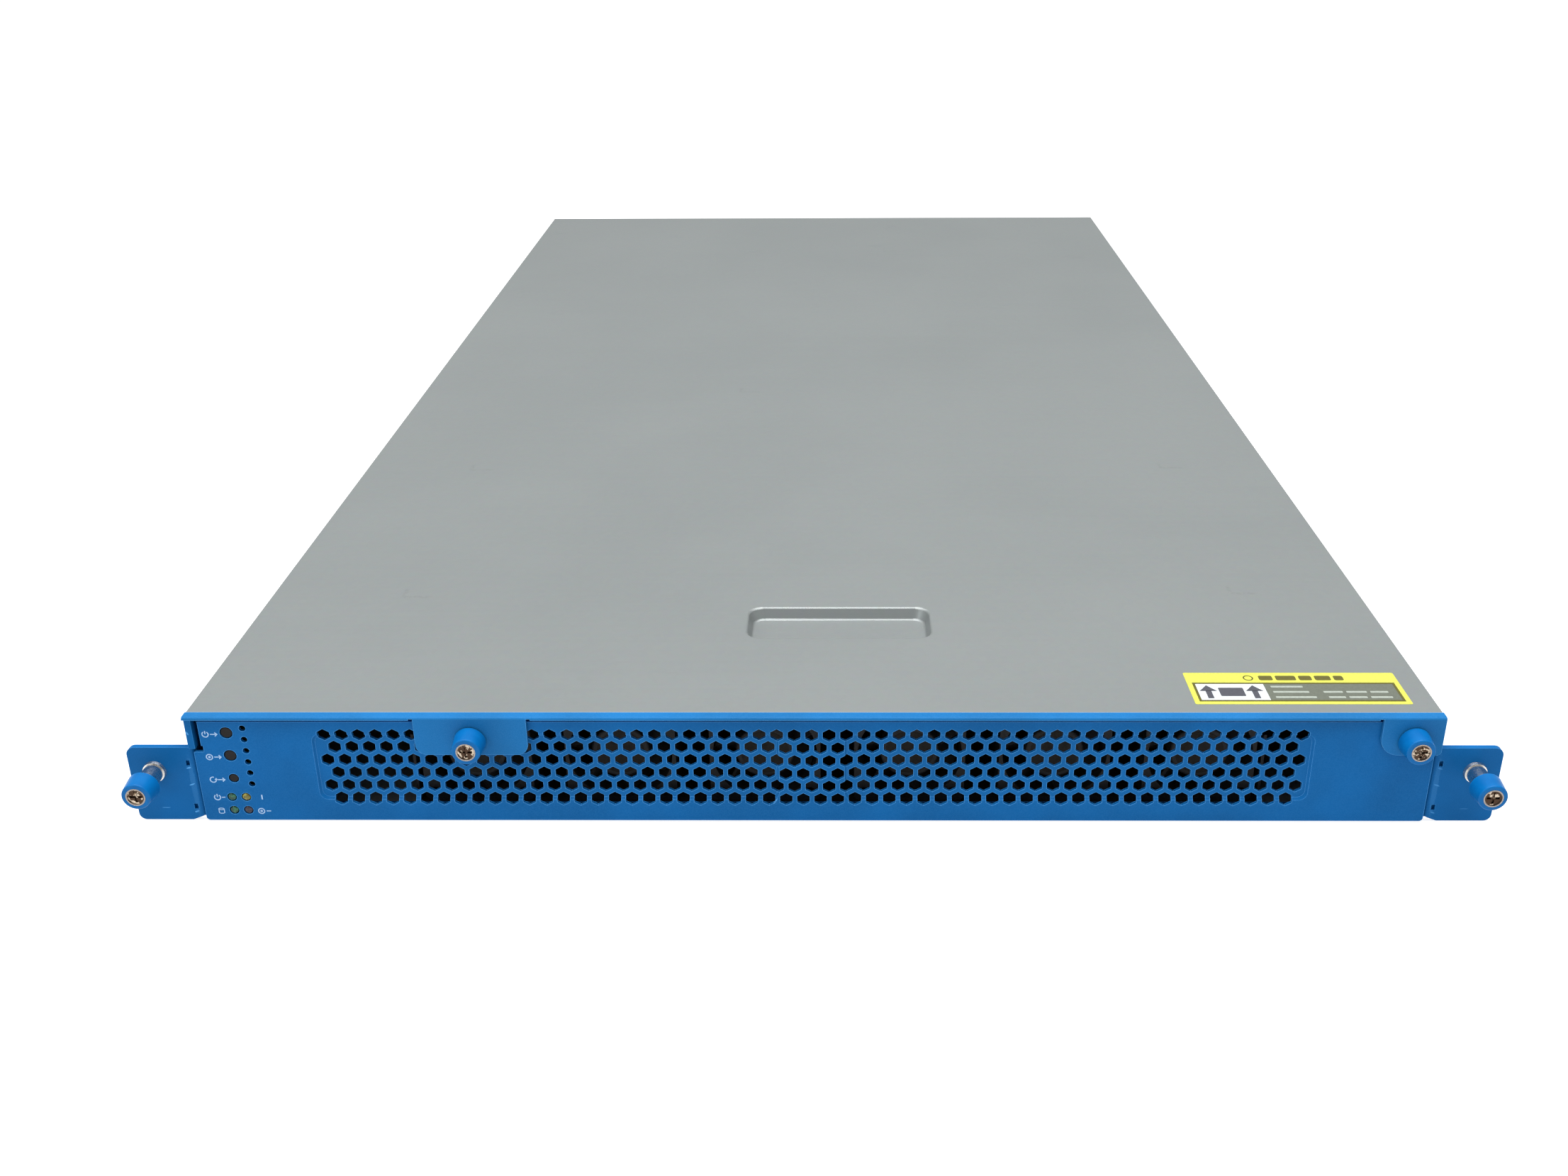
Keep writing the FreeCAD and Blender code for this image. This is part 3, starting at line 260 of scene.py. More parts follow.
def blue_paint(name, base=(0.0012, 0.089, 0.274), light=(0.055, 0.27, 0.62), edge_radius=0.28, edge_highlight=0.70,
               nicks_and_highlights=()):
    """Satin powder coat: fine orange peel, cloudy tone, painted highlights that make its edges paler, and
    paler ovals for nicks and painted highlights.
    """
    s = Shader(name, roughness=0.42, Specular_IOR_Level=0.07)
    cloud = s.span(s.noise(30.0, detail=4.0), 0.3, 0.7)
    colour = s.mix(cloud, tuple(c * 0.90 for c in base), tuple(c * 1.10 for c in base))
    grain = s.span(s.noise(0.35, detail=2.0), 0.35, 0.65)
    colour = s.mix(s.calc("MULTIPLY", grain, 0.05), colour, light)
    # Paler edges: a painted highlight where the edges catch the light.
    edge = s.sharp_edge_mask(edge_radius)
    colour = s.mix(s.calc("MULTIPLY", edge, edge_highlight), colour, light)
    dust = s.span(s.noise(7.0, detail=6.0, rough=0.7), 0.62, 0.82)
    colour = s.mix(s.calc("MULTIPLY", dust, 0.04), colour, (0.06, 0.24, 0.50))
    # Paler ovals: a real nick on the panel; painted highlights and one scratch on the ears.
    for strength, *oval in nicks_and_highlights:
        colour = s.mix(s.calc("MULTIPLY", patch(s, *oval), strength), colour, (0.09, 0.33, 0.68))
    s.set("Base Color", colour)
    smooth = s.calc("MULTIPLY_ADD", cloud, 0.05, 0.36)
    s.set("Roughness", s.calc("ADD", s.calc("MULTIPLY", grain, 0.10), smooth))
    s.bump(s.noise(0.55, detail=1.0), 0.016, 0.30)
    s.bump(s.noise(0.16, detail=2.0), 0.004, 0.25)
    return s.material


def knob_plastic(name):
    """Smooth moulded plastic in a strong blue, with a painted highlight that makes its edges a little paler.
    """
    s = Shader(name, roughness=0.36, Specular_IOR_Level=0.12)
    tone = s.span(s.noise(5.0, detail=3.0), 0.3, 0.7)
    colour = s.mix(tone, (0.0006, 0.092, 0.290), (0.0010, 0.110, 0.330))
    # Paler edges: a painted highlight where the rounded edges catch the light.
    edge = s.sharp_edge_mask(0.35)
    colour = s.mix(s.calc("MULTIPLY", edge, 0.30), colour, (0.015, 0.24, 0.66))
    s.set("Base Color", colour)
    s.set("Roughness", s.calc("MULTIPLY_ADD", s.noise(0.8, detail=3.0), 0.16, 0.28))
    s.bump(s.noise(0.25, detail=2.0), 0.006, 0.25)
    return s.material


def screw_metal(name, x, z, rim_radius=2.95):
    """A plated screw whose centre is at (x, z): a paler rim round a darker recess, with painted glints in the
    recess.
    """
    s = Shader(name, metallic=1.0)
    px = s.calc("SUBTRACT", s.axis(0), x)
    pz = s.calc("SUBTRACT", s.axis(2), z)
    radius = s.calc("SQRT", s.calc("ADD", s.calc("POWER", px, 2.0), s.calc("POWER", pz, 2.0)))
    inside = s.span(radius, rim_radius + 0.1, rim_radius - 0.25)
    # Bright patches in the recess: painted glints standing in for reflections.
    glint = s.span(s.noise(1.5, detail=2.0), 0.52, 0.60)
    recess_with_painted_glints = s.mix(glint, (0.060, 0.036, 0.024), (0.52, 0.43, 0.33))
    grain = s.noise(0.4, detail=3.0)
    rim = s.mix(s.span(grain, 0.4, 0.7), (0.34, 0.30, 0.27), (0.20, 0.17, 0.15))
    s.set("Base Color", s.mix(inside, rim, recess_with_painted_glints))
    s.set("Roughness", s.calc("MULTIPLY_ADD", grain, 0.20, 0.20))
    s.bump(s.noise(0.5, detail=2.0), 0.03, 0.5)
    return s.material


def bright_metal(name, colour, dull=(0.42, 0.40, 0.37), roughness=0.22, grain=0.6):
    """Plated or turned metal with fine turning marks and tarnish in its hollows."""
    s = Shader(name, metallic=1.0)
    tarnish = s.span(s.noise(2.2, detail=5.0, rough=0.65), 0.45, 0.75)
    s.set("Base Color", s.mix(s.calc("MULTIPLY", tarnish, 0.55), colour, dull))
    s.set("Roughness", s.calc("MULTIPLY_ADD", s.noise(grain, detail=3.0), 0.22, roughness - 0.08))
    s.bump(s.noise(0.18, detail=2.0), 0.003, 0.3)
    return s.material


def moulded(name, colour, roughness=0.5, texture=0.5, specular=0.4, dust_share=0.10):
    """Moulded plastic with a fine spark texture and a little dust."""
    s = Shader(name, Specular_IOR_Level=specular)
    tone = s.span(s.noise(6.0, detail=4.0), 0.3, 0.7)
    lighter = tuple(c * 1.35 + 0.002 for c in colour)
    dust = s.span(s.noise(2.2, detail=6.0, rough=0.7), 0.58, 0.80)
    base = s.mix(tone, colour, lighter)
    base = s.mix(s.calc("MULTIPLY", dust, dust_share), base, (0.22, 0.21, 0.20))
    s.set("Base Color", base)
    s.set("Roughness", s.calc("MULTIPLY_ADD", s.noise(texture, detail=3.0), 0.2, roughness - 0.1))
    s.bump(s.noise(texture * 0.4, detail=2.0), 0.01, 0.3)
    return s.material


def lens(name, colour, glint_colour):
    """A tinted light-pipe lens with paler patches painted in as glints."""
    s = Shader(name, roughness=0.12, Transmission_Weight=0.25, IOR=1.5, Specular_IOR_Level=0.3,
               Coat_Weight=0.2, Coat_Roughness=0.06)
    # Paler patches: painted glints; the lens gives no light of its own.
    glint_patches = s.span(s.noise(1.1, detail=2.0), 0.35, 0.7)
    s.set("Base Color", s.mix(glint_patches, colour, glint_colour))
    s.set("Roughness", s.calc("MULTIPLY_ADD", s.noise(0.5), 0.10, 0.08))
    s.bump(s.noise(0.6), 0.01, 0.2)
    return s.material


def board_lacquer(name):
    """Green lacquer over faintly raised tracks."""
    s = Shader(name, Specular_IOR_Level=0.5, Coat_Weight=0.3, Coat_Roughness=0.2)
    tracks = s.cells(3.0, feature="DISTANCE_TO_EDGE", stretch=(1.0, 0.35, 1.0)).outputs["Distance"]
    line = s.span(tracks, 0.10, 0.04)
    base = s.mix(s.noise(20.0), (0.010, 0.060, 0.035), (0.016, 0.095, 0.052))
    s.set("Base Color", s.mix(s.calc("MULTIPLY", line, 0.5), base, (0.04, 0.20, 0.11)))
    s.set("Roughness", s.calc("MULTIPLY_ADD", line, 0.1, 0.32))
    s.bump(line, 0.03, 0.4)
    return s.material


def plain_print(name, colour, roughness=0.45):
    """Printed ink: flat in tone but with a little mottle and pinholes."""
    s = Shader(name, Specular_IOR_Level=0.35)
    mottle = s.noise(0.7, detail=4.0)
    darker = tuple(c * 0.86 for c in colour)
    s.set("Base Color", s.mix(s.span(mottle, 0.35, 0.7), darker, colour))
    s.set("Roughness", s.calc("MULTIPLY_ADD", mottle, 0.15, roughness - 0.07))
    s.bump(s.noise(0.3, detail=2.0), 0.004, 0.3)
    return s.material


COVER_MARKS = ((-165.0, 92.6), (-42.9, 343.1), (-167.6, 228.6), (166.0, 230.1), (167.2, 95.4))


def cover_mark_places():
    """The rubbed marks on the cover, moved from distances behind the lip into the frame, in millimetres."""
    return [(x, y + LIP_Y / MM) for x, y in COVER_MARKS]


FINISH = {
    "zinc_plated_steel": zinc_sheet("zinc_plate"),
    "psu_steel": zinc_sheet("supply_zinc_plate", light=(0.26, 0.27, 0.27), dark=(0.20, 0.215, 0.215)),
    "port_steel": bright_metal("tinned_steel", (0.62, 0.62, 0.60), dull=(0.42, 0.41, 0.38), roughness=0.34),
    "blue_painted_steel": blue_paint("blue_powder_coat"),
    "blue_knob_plastic": knob_plastic("blue_knob"),
    "nickel_plated_steel": bright_metal("nickel", (0.70, 0.68, 0.65), dull=(0.34, 0.32, 0.30)),
    "spring_steel": bright_metal("spring_wire", (0.5, 0.5, 0.5), roughness=0.35),
    "black_button_plastic": moulded("button_black", (0.006, 0.0045, 0.0045), roughness=0.40, specular=0.16,
                                    dust_share=0.02),
    "black_plastic": moulded("black_moulding", (0.014, 0.014, 0.015), roughness=0.5),
    "fan_plastic": moulded("fan_moulding", (0.012, 0.0125, 0.013), roughness=0.55),
    "green_lens": lens("green_lens", (0.004, 0.042, 0.022), (0.02, 0.16, 0.08)),
    "yellow_lens": lens("yellow_lens", (0.105, 0.090, 0.008), (0.38, 0.33, 0.05)),
    "blue_lens": lens("blue_lens", (0.008, 0.005, 0.012), (0.05, 0.035, 0.06)),
    "circuit_board": board_lacquer("board_lacquer"),
    "drive_case": bright_metal("drive_case", (0.30, 0.31, 0.33), dull=(0.2, 0.2, 0.2), roughness=0.45),
    "heatsink_aluminium": bright_metal("heatsink", (0.70, 0.71, 0.72), dull=(0.55, 0.55, 0.55),
                                       roughness=0.35),
    "sticker_paper": plain_print("sticker_film", (0.74, 0.76, 0.74)),
    "latch_plastic": moulded("latch_green", (0.015, 0.19, 0.07), roughness=0.4, specular=0.5),
}
COVER_FINISH = zinc_sheet("cover_zinc_plate", marks=cover_mark_places())
INK = plain_print("legend_ink", (0.30, 0.45, 0.67))


def ear_highlights_and_scratch(side, strength):
    """Paler ovals on the ear, most of them painted highlights: on the bend, below the bend's slots and at its
    top; and a short scratch: (strength, x, z, size, tilt).
    """
    return ((0.12, side * 219.6, 14.0, 1.0, 13.0, 0.0),
            (strength, side * 220.2, 21.7, 0.9, 0.30, -14.0 * side),
            (strength, side * 220.1, 14.8, 1.1, 0.30, -20.0 * side),
            (strength, side * 220.3, 3.4, 1.0, 0.34, -22.0 * side),
            (strength * 0.7, side * 231.0, 5.0, 1.6, 0.18, 0.0),
            (strength * 0.8, side * 218.0, 36.4, 0.4, 0.8, 30.0))


OWN_FINISH = {
    "top_cover": COVER_FINISH,
    # The panel's edges and hole rims get a stronger painted highlight; its one oval is a real nick.
    "front_panel": blue_paint("panel_paint", light=(0.085, 0.33, 0.72), edge_radius=0.40, edge_highlight=0.92,
                              nicks_and_highlights=((0.7, -12.9, 8.4, 1.5, 0.24, 58.0),)),
    "fan_bracket": moulded("bracket_black", (0.010, 0.010, 0.011), roughness=0.55),
    # The ears' paler ovals are painted highlights, except for one real scratch.
    "rack_ear_left": blue_paint("left_ear_paint", nicks_and_highlights=ear_highlights_and_scratch(-1, 0.75)),
    "rack_ear_right": blue_paint("right_ear_paint", nicks_and_highlights=ear_highlights_and_scratch(1, 0.35)),
    # A lighter copy of the blue paint with bright edges: a painted highlight on the rail's lit top and crest.
    "cover_front_rail": blue_paint("rail_paint_lit_copy", base=(0.006, 0.110, 0.300), light=(0.14, 0.42, 0.80)),
}
for stud_node in [name for name in nodes if name.endswith("_stud")]:
    stud_middle = centre_mm(stud_node)
    OWN_FINISH[stud_node] = screw_metal(stud_node + "_metal", stud_middle.x, stud_middle.z)


EDGE_WIDTHS = (("front_panel", 0.16), ("rack_ear_left", 0.35), ("rack_ear_right", 0.35),
               ("cover_front_rail", 0.22), ("top_cover", 0.15))
SHARP_EDGE_DEGREES = 35.0


def dress_cad_nodes():
    """Every CAD node gets its own finish or that of its slot, and sheet parts a fine edge radius."""
    slots = {p["node"]: p["material_slot"] for p in frame["record"]["subparts"]}
    for node, piece in nodes.items():
        piece.data.materials.clear()
        piece.data.materials.append(OWN_FINISH.get(node) or FINISH[slots[node]])
    for node, width in EDGE_WIDTHS:
        soften(nodes[node], width)


def soften(piece, width_mm):
    """Rounds a piece's sharp edges a little, as folded and coated sheet has them."""
    bevel = piece.modifiers.new("edge_radius", "BEVEL")
    bevel.width = width_mm * MM
    bevel.segments = 2
    bevel.limit_method = "ANGLE"
    bevel.angle_limit = math.radians(SHARP_EDGE_DEGREES)
    bevel.harden_normals = True
    bevel.use_clamp_overlap = True


# ---------------------------------------------------------------- mesh pieces

def make_piece(name, draw, finish, body):
    """A piece whose shape the function `draw` adds to an empty mesh."""
    shape = bmesh.new()
    draw(shape)
    bmesh.ops.recalc_face_normals(shape, faces=shape.faces)
    mesh = bpy.data.meshes.new(name)
    shape.to_mesh(mesh)
    shape.free()
    mesh.materials.append(finish)
    piece = bpy.data.objects.new(name, mesh)
    bpy.context.collection.objects.link(piece)
    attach(piece, body)
    return piece


def prism(shape, outline, place, low, high):
    """Adds a closed solid with a flat outline, from one height above its surface to another."""
    bottom = [shape.verts.new(place(u, v, low)) for u, v in outline]
    top = [shape.verts.new(place(u, v, high)) for u, v in outline]
    shape.faces.new(top)
    shape.faces.new(list(reversed(bottom)))
    for i in range(len(outline)):
        j = (i + 1) % len(outline)
        shape.faces.new((bottom[i], bottom[j], top[j], top[i]))


def stroke(shape, path, width, place, low, high, closed=False):
    """Adds a drawn line of even width along a path, as a closed solid."""
    count = len(path)
    sides = []
    for i in range(count):
        before = Vector(path[i - 1] if i or closed else path[0])
        after = Vector(path[(i + 1) % count] if i < count - 1 or closed else path[-1])
        here = Vector(path[i])
        into = (here - before).normalized() if here != before else (after - here).normalized()
        out = (after - here).normalized() if here != after else into
        normal = Vector((-(into + out).y, (into + out).x)).normalized()
        reach = width / 2 / max(0.5, normal.dot(Vector((-out.y, out.x))))
        sides.append([shape.verts.new(place(*(here + normal * side * reach), height))
                      for side, height in ((1, low), (-1, low), (-1, high), (1, high))])
    for i in range(count if closed else count - 1):
        a, b = sides[i], sides[(i + 1) % count]
        for k in range(4):
            shape.faces.new((a[k], a[(k + 1) % 4], b[(k + 1) % 4], b[k]))
    if not closed:
        shape.faces.new(sides[0])
        shape.faces.new(list(reversed(sides[-1])))


def arc(u, v, radius, start, end, steps=20):
    """Points along an arc, from one angle to another in degrees."""
    angles = [math.radians(start + (end - start) * i / steps) for i in range(steps + 1)]
    return [(u + radius * math.cos(a), v + radius * math.sin(a)) for a in angles]


def circle(u, v, radius, steps=28):
    """Points round a circle, without a repeated last one."""
    return arc(u, v, radius, 0, 360, steps)[:-1]


def rectangle(u0, u1, v0, v1):
    return [(u0, v0), (u1, v0), (u1, v1), (u0, v1)]


def rounded(u0, u1, v0, v1, radius):
    """A rectangle's outline with rounded corners."""
    corners = ((u0 + radius, v0 + radius, 180), (u1 - radius, v0 + radius, 270),
               (u1 - radius, v1 - radius, 0), (u0 + radius, v1 - radius, 90))
    return [point for u, v, start in corners for point in arc(u, v, radius, start, start + 90, 6)]


def lathe(shape, profile, place, steps=24):
    """Adds a turned solid: a profile of (radius, height) points whose first and last lie on the axis."""
    rings = []
    for radius, height in profile:
        count = steps if radius > 0 else 1
        rings.append([shape.verts.new(place(radius * math.cos(2 * math.pi * k / steps),
                                            radius * math.sin(2 * math.pi * k / steps), height))
                      for k in range(count)])
    for lower, upper in zip(rings, rings[1:]):
        for k in range(steps):
            corners = [lower[k % len(lower)], lower[(k + 1) % len(lower)],
                       upper[(k + 1) % len(upper)], upper[k % len(upper)]]
            shape.faces.new(list(dict.fromkeys(corners)))


# ---- symbols printed beside the controls

SYMBOL_THICK = 0.03
CROSSING_THICK = 0.02
SYMBOL_LINE = 0.40
SYMBOL_R = 1.08
ARROW_HEAD = 0.75
DRUM_R = 0.95
DRUM_FLATTENED_R = 0.36
DRUM_HALF_HEIGHT = 0.75
DRUM_LINE = 0.32
BUTTON_SYMBOL_LEFT = 7.4
BUTTON_ARROW_LEFT = (5.7, 3.3)
BUTTON_SYMBOL_DOWN = 0.6


def on_panel(u, v, height):
    """A point in front of the panel, from millimetres across, up and out."""
    return Vector((u * MM, PANEL_Y - height * MM, v * MM))


def panel_line(shape, path, closed=False, width=SYMBOL_LINE, high=SYMBOL_THICK):
    stroke(shape, path, width, on_panel, 0.0, high, closed)


def arrow(shape, u0, u1, v):
    """A small arrow that points at the control to its right."""
    panel_line(shape, [(u1 - ARROW_HEAD, v + ARROW_HEAD), (u1, v), (u1 - ARROW_HEAD, v - ARROW_HEAD)])
    panel_line(shape, [(u0, v), (u1 - 0.1, v)], high=CROSSING_THICK)


def power_symbol(shape, u, v):
    panel_line(shape, arc(u, v, SYMBOL_R, 125, 415))
    panel_line(shape, [(u, v + 0.1), (u, v + SYMBOL_R + 0.3)])


def locator_symbol(shape, u, v):
    panel_line(shape, circle(u, v, SYMBOL_R), closed=True)
    prism(shape, circle(u, v, 0.45), on_panel, 0.0, SYMBOL_THICK)


def restart_symbol(shape, u, v):
    panel_line(shape, arc(u, v, SYMBOL_R, 70, 350), high=CROSSING_THICK)
    head = [(u + SYMBOL_R - 0.65, v - 0.1), (u + SYMBOL_R + 0.65, v - 0.1), (u + SYMBOL_R, v + 0.75)]
    prism(shape, head, on_panel, 0.0, SYMBOL_THICK)


def drive_symbol(shape, u, v):
    """A drum: its round top, its sides and its base."""
    top = [(u + DRUM_R * math.cos(a), v + DRUM_HALF_HEIGHT + DRUM_FLATTENED_R * math.sin(a))
           for a in (2 * math.pi * i / 24 for i in range(24))]
    panel_line(shape, top, closed=True, width=DRUM_LINE)
    base = [(u + DRUM_R * math.cos(a), v - DRUM_HALF_HEIGHT + DRUM_FLATTENED_R * math.sin(a))
            for a in (math.pi + math.pi * i / 12 for i in range(13))]
    sides = [(u - DRUM_R, v + DRUM_HALF_HEIGHT)] + base + [(u + DRUM_R, v + DRUM_HALF_HEIGHT)]
    panel_line(shape, sides, width=DRUM_LINE, high=CROSSING_THICK)


def draw_symbols(shape):
    """A symbol and an arrow left of each button, and a symbol and a dash beside the lights."""
    power, locate, restart = (centre_mm(n) for n in ("power_button", "id_button", "reset_button"))
    for symbol, button in ((power_symbol, power), (locator_symbol, locate), (restart_symbol, restart)):
        level = button.z - BUTTON_SYMBOL_DOWN
        symbol(shape, button.x - BUTTON_SYMBOL_LEFT, level)
        arrow(shape, button.x - BUTTON_ARROW_LEFT[0], button.x - BUTTON_ARROW_LEFT[1], level)
    green = centre_mm("led_lenses_green")
    yellow = centre_mm("led_lens_yellow")
    blue = centre_mm("led_lens_blue")
    power_symbol(shape, green.x - 5.2, yellow.z - 0.1)
    panel_line(shape, [(green.x - 3.6, yellow.z - 0.1), (green.x - 2.4, yellow.z - 0.1)])
    drive_symbol(shape, green.x - 4.6, blue.z - 0.3)
    panel_line(shape, [(yellow.x + 5.6, yellow.z - 1.0), (yellow.x + 5.6, yellow.z + 0.9)], width=0.5)
    locator_symbol(shape, blue.x + 4.6, blue.z - 0.4)
    panel_line(shape, [(blue.x + 6.4, blue.z - 0.4), (blue.x + 8.0, blue.z - 0.4)])


# ---- the sticker on the cover, with a plain design in place of words

def on_cover(u, v, height):
    """A point above the sticker's corner, from millimetres across, back and up."""
    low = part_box("cover_label")[0]
    return Vector((low.x + u * MM, low.y + v * MM, low.z + height * MM))


def sticker_size():
    """The sticker's width and depth, in millimetres."""
    low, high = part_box("cover_label")
    return (high.x - low.x) / MM, (high.y - low.y) / MM


STICKER_BORDER = 2.3
STICKER_BAND = 7.6
STICKER_WHITE = 27.0
STICKER_CORNER_R = 0.7
FRAME_LINE = 0.9
RING_ACROSS = 0.30
RING_R = 1.6
RING_LINE = 0.5
BAND_BARS = ((0.35, 0.415), (0.43, 0.525), (0.54, 0.60), (0.615, 0.69), (0.705, 0.75))
BAND_BAR_HALF = 1.6
BAR_CORNER_R = 0.7
BOX_HALF = (4.4, 2.9)
ARROW_APART = 8.2
ARROW_STEM = 2.1
ARROW_HALF_WIDTH = 3.1
PALE_ROWS = ((0.80, ((0.0, 0.27),)),
             (0.50, ((0.0, 0.30), (0.42, 0.58), (0.61, 0.78), (0.81, 0.96))),
             (0.20, ((0.0, 0.34), (0.44, 0.58), (0.61, 0.76), (0.79, 0.97))))
PALE_BAR_HALF = 0.6
FILM_TOP = 0.06
BLOCK_TOP = 0.09
INK_TOP = 0.12


def draw_film(shape):
    width, deep = sticker_size()
    prism(shape, rounded(0, width, 0, deep, STICKER_CORNER_R), on_cover, 0.0, FILM_TOP)


def draw_white_block(shape):
    deep = sticker_size()[1]
    prism(shape, rectangle(STICKER_BORDER, STICKER_WHITE, STICKER_BORDER, deep - STICKER_BAND),
          on_cover, FILM_TOP, BLOCK_TOP)


def draw_grey_block(shape):
    width, deep = sticker_size()
    prism(shape, rectangle(STICKER_WHITE, width - STICKER_BORDER, STICKER_BORDER, deep - STICKER_BAND),
          on_cover, FILM_TOP, BLOCK_TOP)


def draw_dark_ink(shape):
    """A frame round the two blocks, and a ring and plain bars in the band above them."""
    width, deep = sticker_size()
    top = deep - STICKER_BAND
    frame_line = rectangle(STICKER_BORDER, width - STICKER_BORDER, STICKER_BORDER, top)
    stroke(shape, frame_line, FRAME_LINE, on_cover, FILM_TOP, INK_TOP, closed=True)
    middle = deep - STICKER_BAND / 2
    ring = circle(width * RING_ACROSS, middle, RING_R)
    stroke(shape, ring, RING_LINE, on_cover, FILM_TOP, BLOCK_TOP, closed=True)
    low, high = middle - BAND_BAR_HALF, middle + BAND_BAR_HALF
    for u0, u1 in BAND_BARS:
        prism(shape, rounded(width * u0, width * u1, low, high, BAR_CORNER_R), on_cover, FILM_TOP, BLOCK_TOP)


def draw_pictogram(shape):
    """A plain box between two arrows that point up."""
    deep = sticker_size()[1]
    u = (STICKER_BORDER + STICKER_WHITE) / 2
    v = (STICKER_BORDER + deep - STICKER_BAND) / 2
    half_width, half_height = BOX_HALF
    prism(shape, rounded(u - half_width, u + half_width, v - half_height, v + half_height, 0.5),
          on_cover, BLOCK_TOP, INK_TOP)
    for side in (-1, 1):
        centre = u + side * ARROW_APART
        stroke(shape, [(centre, v - 4.4), (centre, v + 0.8)], ARROW_STEM, on_cover, BLOCK_TOP, INK_TOP)
        head = [(centre - ARROW_HALF_WIDTH, v + 0.6), (centre + ARROW_HALF_WIDTH, v + 0.6),
                (centre, v + 4.6)]
        prism(shape, head, on_cover, BLOCK_TOP, INK_TOP)


def draw_pale_lines(shape):
    """Three rows of plain bars in the grey block."""
    width, deep = sticker_size()
    left = STICKER_WHITE + 2.2
    room = width - STICKER_BORDER - 2.0 - left
    bottom = STICKER_BORDER
    top = deep - STICKER_BAND
    for height, bars in PALE_ROWS:
        v = bottom + (top - bottom) * height
        low, high = v - PALE_BAR_HALF, v + PALE_BAR_HALF
        for start, end in bars:
            prism(shape, rounded(left + room * start, left + room * end, low, high, 0.3),
                  on_cover, BLOCK_TOP, INK_TOP)


def make_sticker():
    """The film and its prints, each a thin solid of its own."""
    film = make_piece("sticker_film", draw_film, plain_print("sticker_yellow", (0.50, 0.51, 0.07)),
                      "cover")
    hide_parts("cover_label")
    for name, draw, colour in (("sticker_white", draw_white_block, (0.52, 0.55, 0.58)),
                               ("sticker_grey", draw_grey_block, (0.105, 0.115, 0.090)),
                               ("sticker_frame", draw_dark_ink, (0.085, 0.075, 0.006)),
                               ("sticker_pictogram", draw_pictogram, (0.055, 0.055, 0.070)),
                               ("sticker_bars", draw_pale_lines, (0.30, 0.33, 0.29))):
        make_piece(name, draw, plain_print(name + "_ink", colour), "cover")


# ---- contacts, lights and hub discs at the back and inside

CONTACTS_PER_JACK = 8
CONTACT_PITCH = 1.02
CONTACT_WIDTH = 0.3
NETWORK_JACKS = 4
JACK_LIGHT_APART = 4.9
JACK_LIGHT_HALF = 1.3
JACK_LIGHT_DOWN = (3.0, 1.4)
PIN_PLACES = ((-7.0, -2.0), (0.0, 2.0), (7.0, -2.0))
PIN_HALF = (1.08, 2.08)
PIN_ENDS = (-16.4, -5.3)
HUB_SHARE = 0.48


def contact_places():
    """The middle and the floor of each network jack at the back: (x, z) in millimetres."""
    openings = frame["record"]["physics"]["openings"]
    jacks = [o["box_m"] for o in openings if "_jack" in o["name"]]
    return [((low[0] + high[0]) / 2 / MM, low[2] / MM) for low, high in jacks]


def draw_contacts(shape):
    """Eight sprung wires rise from each jack's floor towards its inner end."""
    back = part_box("lan_port_block")[1].y / MM
    for x, z in contact_places():
        for k in range(CONTACTS_PER_JACK):
            u = x + (k - (CONTACTS_PER_JACK - 1) / 2) * CONTACT_PITCH

            def beside(y, height, across, u=u):
                return Vector(((u + across) * MM, y * MM, height * MM))

            path = [(back - 2.0, z + 0.1), (back - 3.2, z + 0.5), (back - 10.5, z + 3.4),
                    (back - 12.0, z + 3.5)]
            stroke(shape, path, CONTACT_WIDTH, beside, -0.2, 0.2)


def draw_jack_lights(shape, side):
    """One window above each network jack, at its left or right corner."""
    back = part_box("lan_port_block")[1].y
    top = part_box("lan_port_block")[1].z / MM

    def on_block(u, v, height):
        return Vector((u * MM, back + height * MM, v * MM))

    low, high = (top - down for down in JACK_LIGHT_DOWN)
    for x, _ in contact_places()[:NETWORK_JACKS]:
        centre = x + side * JACK_LIGHT_APART
        prism(shape, rounded(centre - JACK_LIGHT_HALF, centre + JACK_LIGHT_HALF, low, high, 0.3),
              on_block, 0.0, 0.12)


def draw_pin_sleeves(shape, inlet):
    """Bright sleeves on the three pins of a mains inlet."""
    low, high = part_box(inlet)
    x, z = (low.x + high.x) / 2, (low.z + high.z) / 2

    def in_inlet(u, v, height):
        return Vector((x + u * MM, high.y + height * MM, z + v * MM))

    half_width, half_height = PIN_HALF
    for u, v in PIN_PLACES:
        prism(shape, rounded(u - half_width, u + half_width, v - half_height, v + half_height, 0.5),
              in_inlet, *PIN_ENDS)


def draw_hub_disc(shape, node):
    """A thin dark disc on the front of a fan's hub."""
    low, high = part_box(node)
    x, z = (low.x + high.x) / 2, (low.z + high.z) / 2
    reach = (high.x - low.x) / 2 / MM * HUB_SHARE

    def on_hub(u, v, height):
        return Vector((x + u * MM, low.y - height * MM, z + v * MM))

    lathe(shape, [(0, 0.0), (reach, 0.0), (reach, 0.1), (0, 0.1)], on_hub)


# ---- the springs behind the ear screws' knobs

SPRING_TURNS = 7
SPRING_WIRE_R = 0.3
SPRING_STEPS_PER_TURN = 24
SPRING_WIRE_SIDES = 10


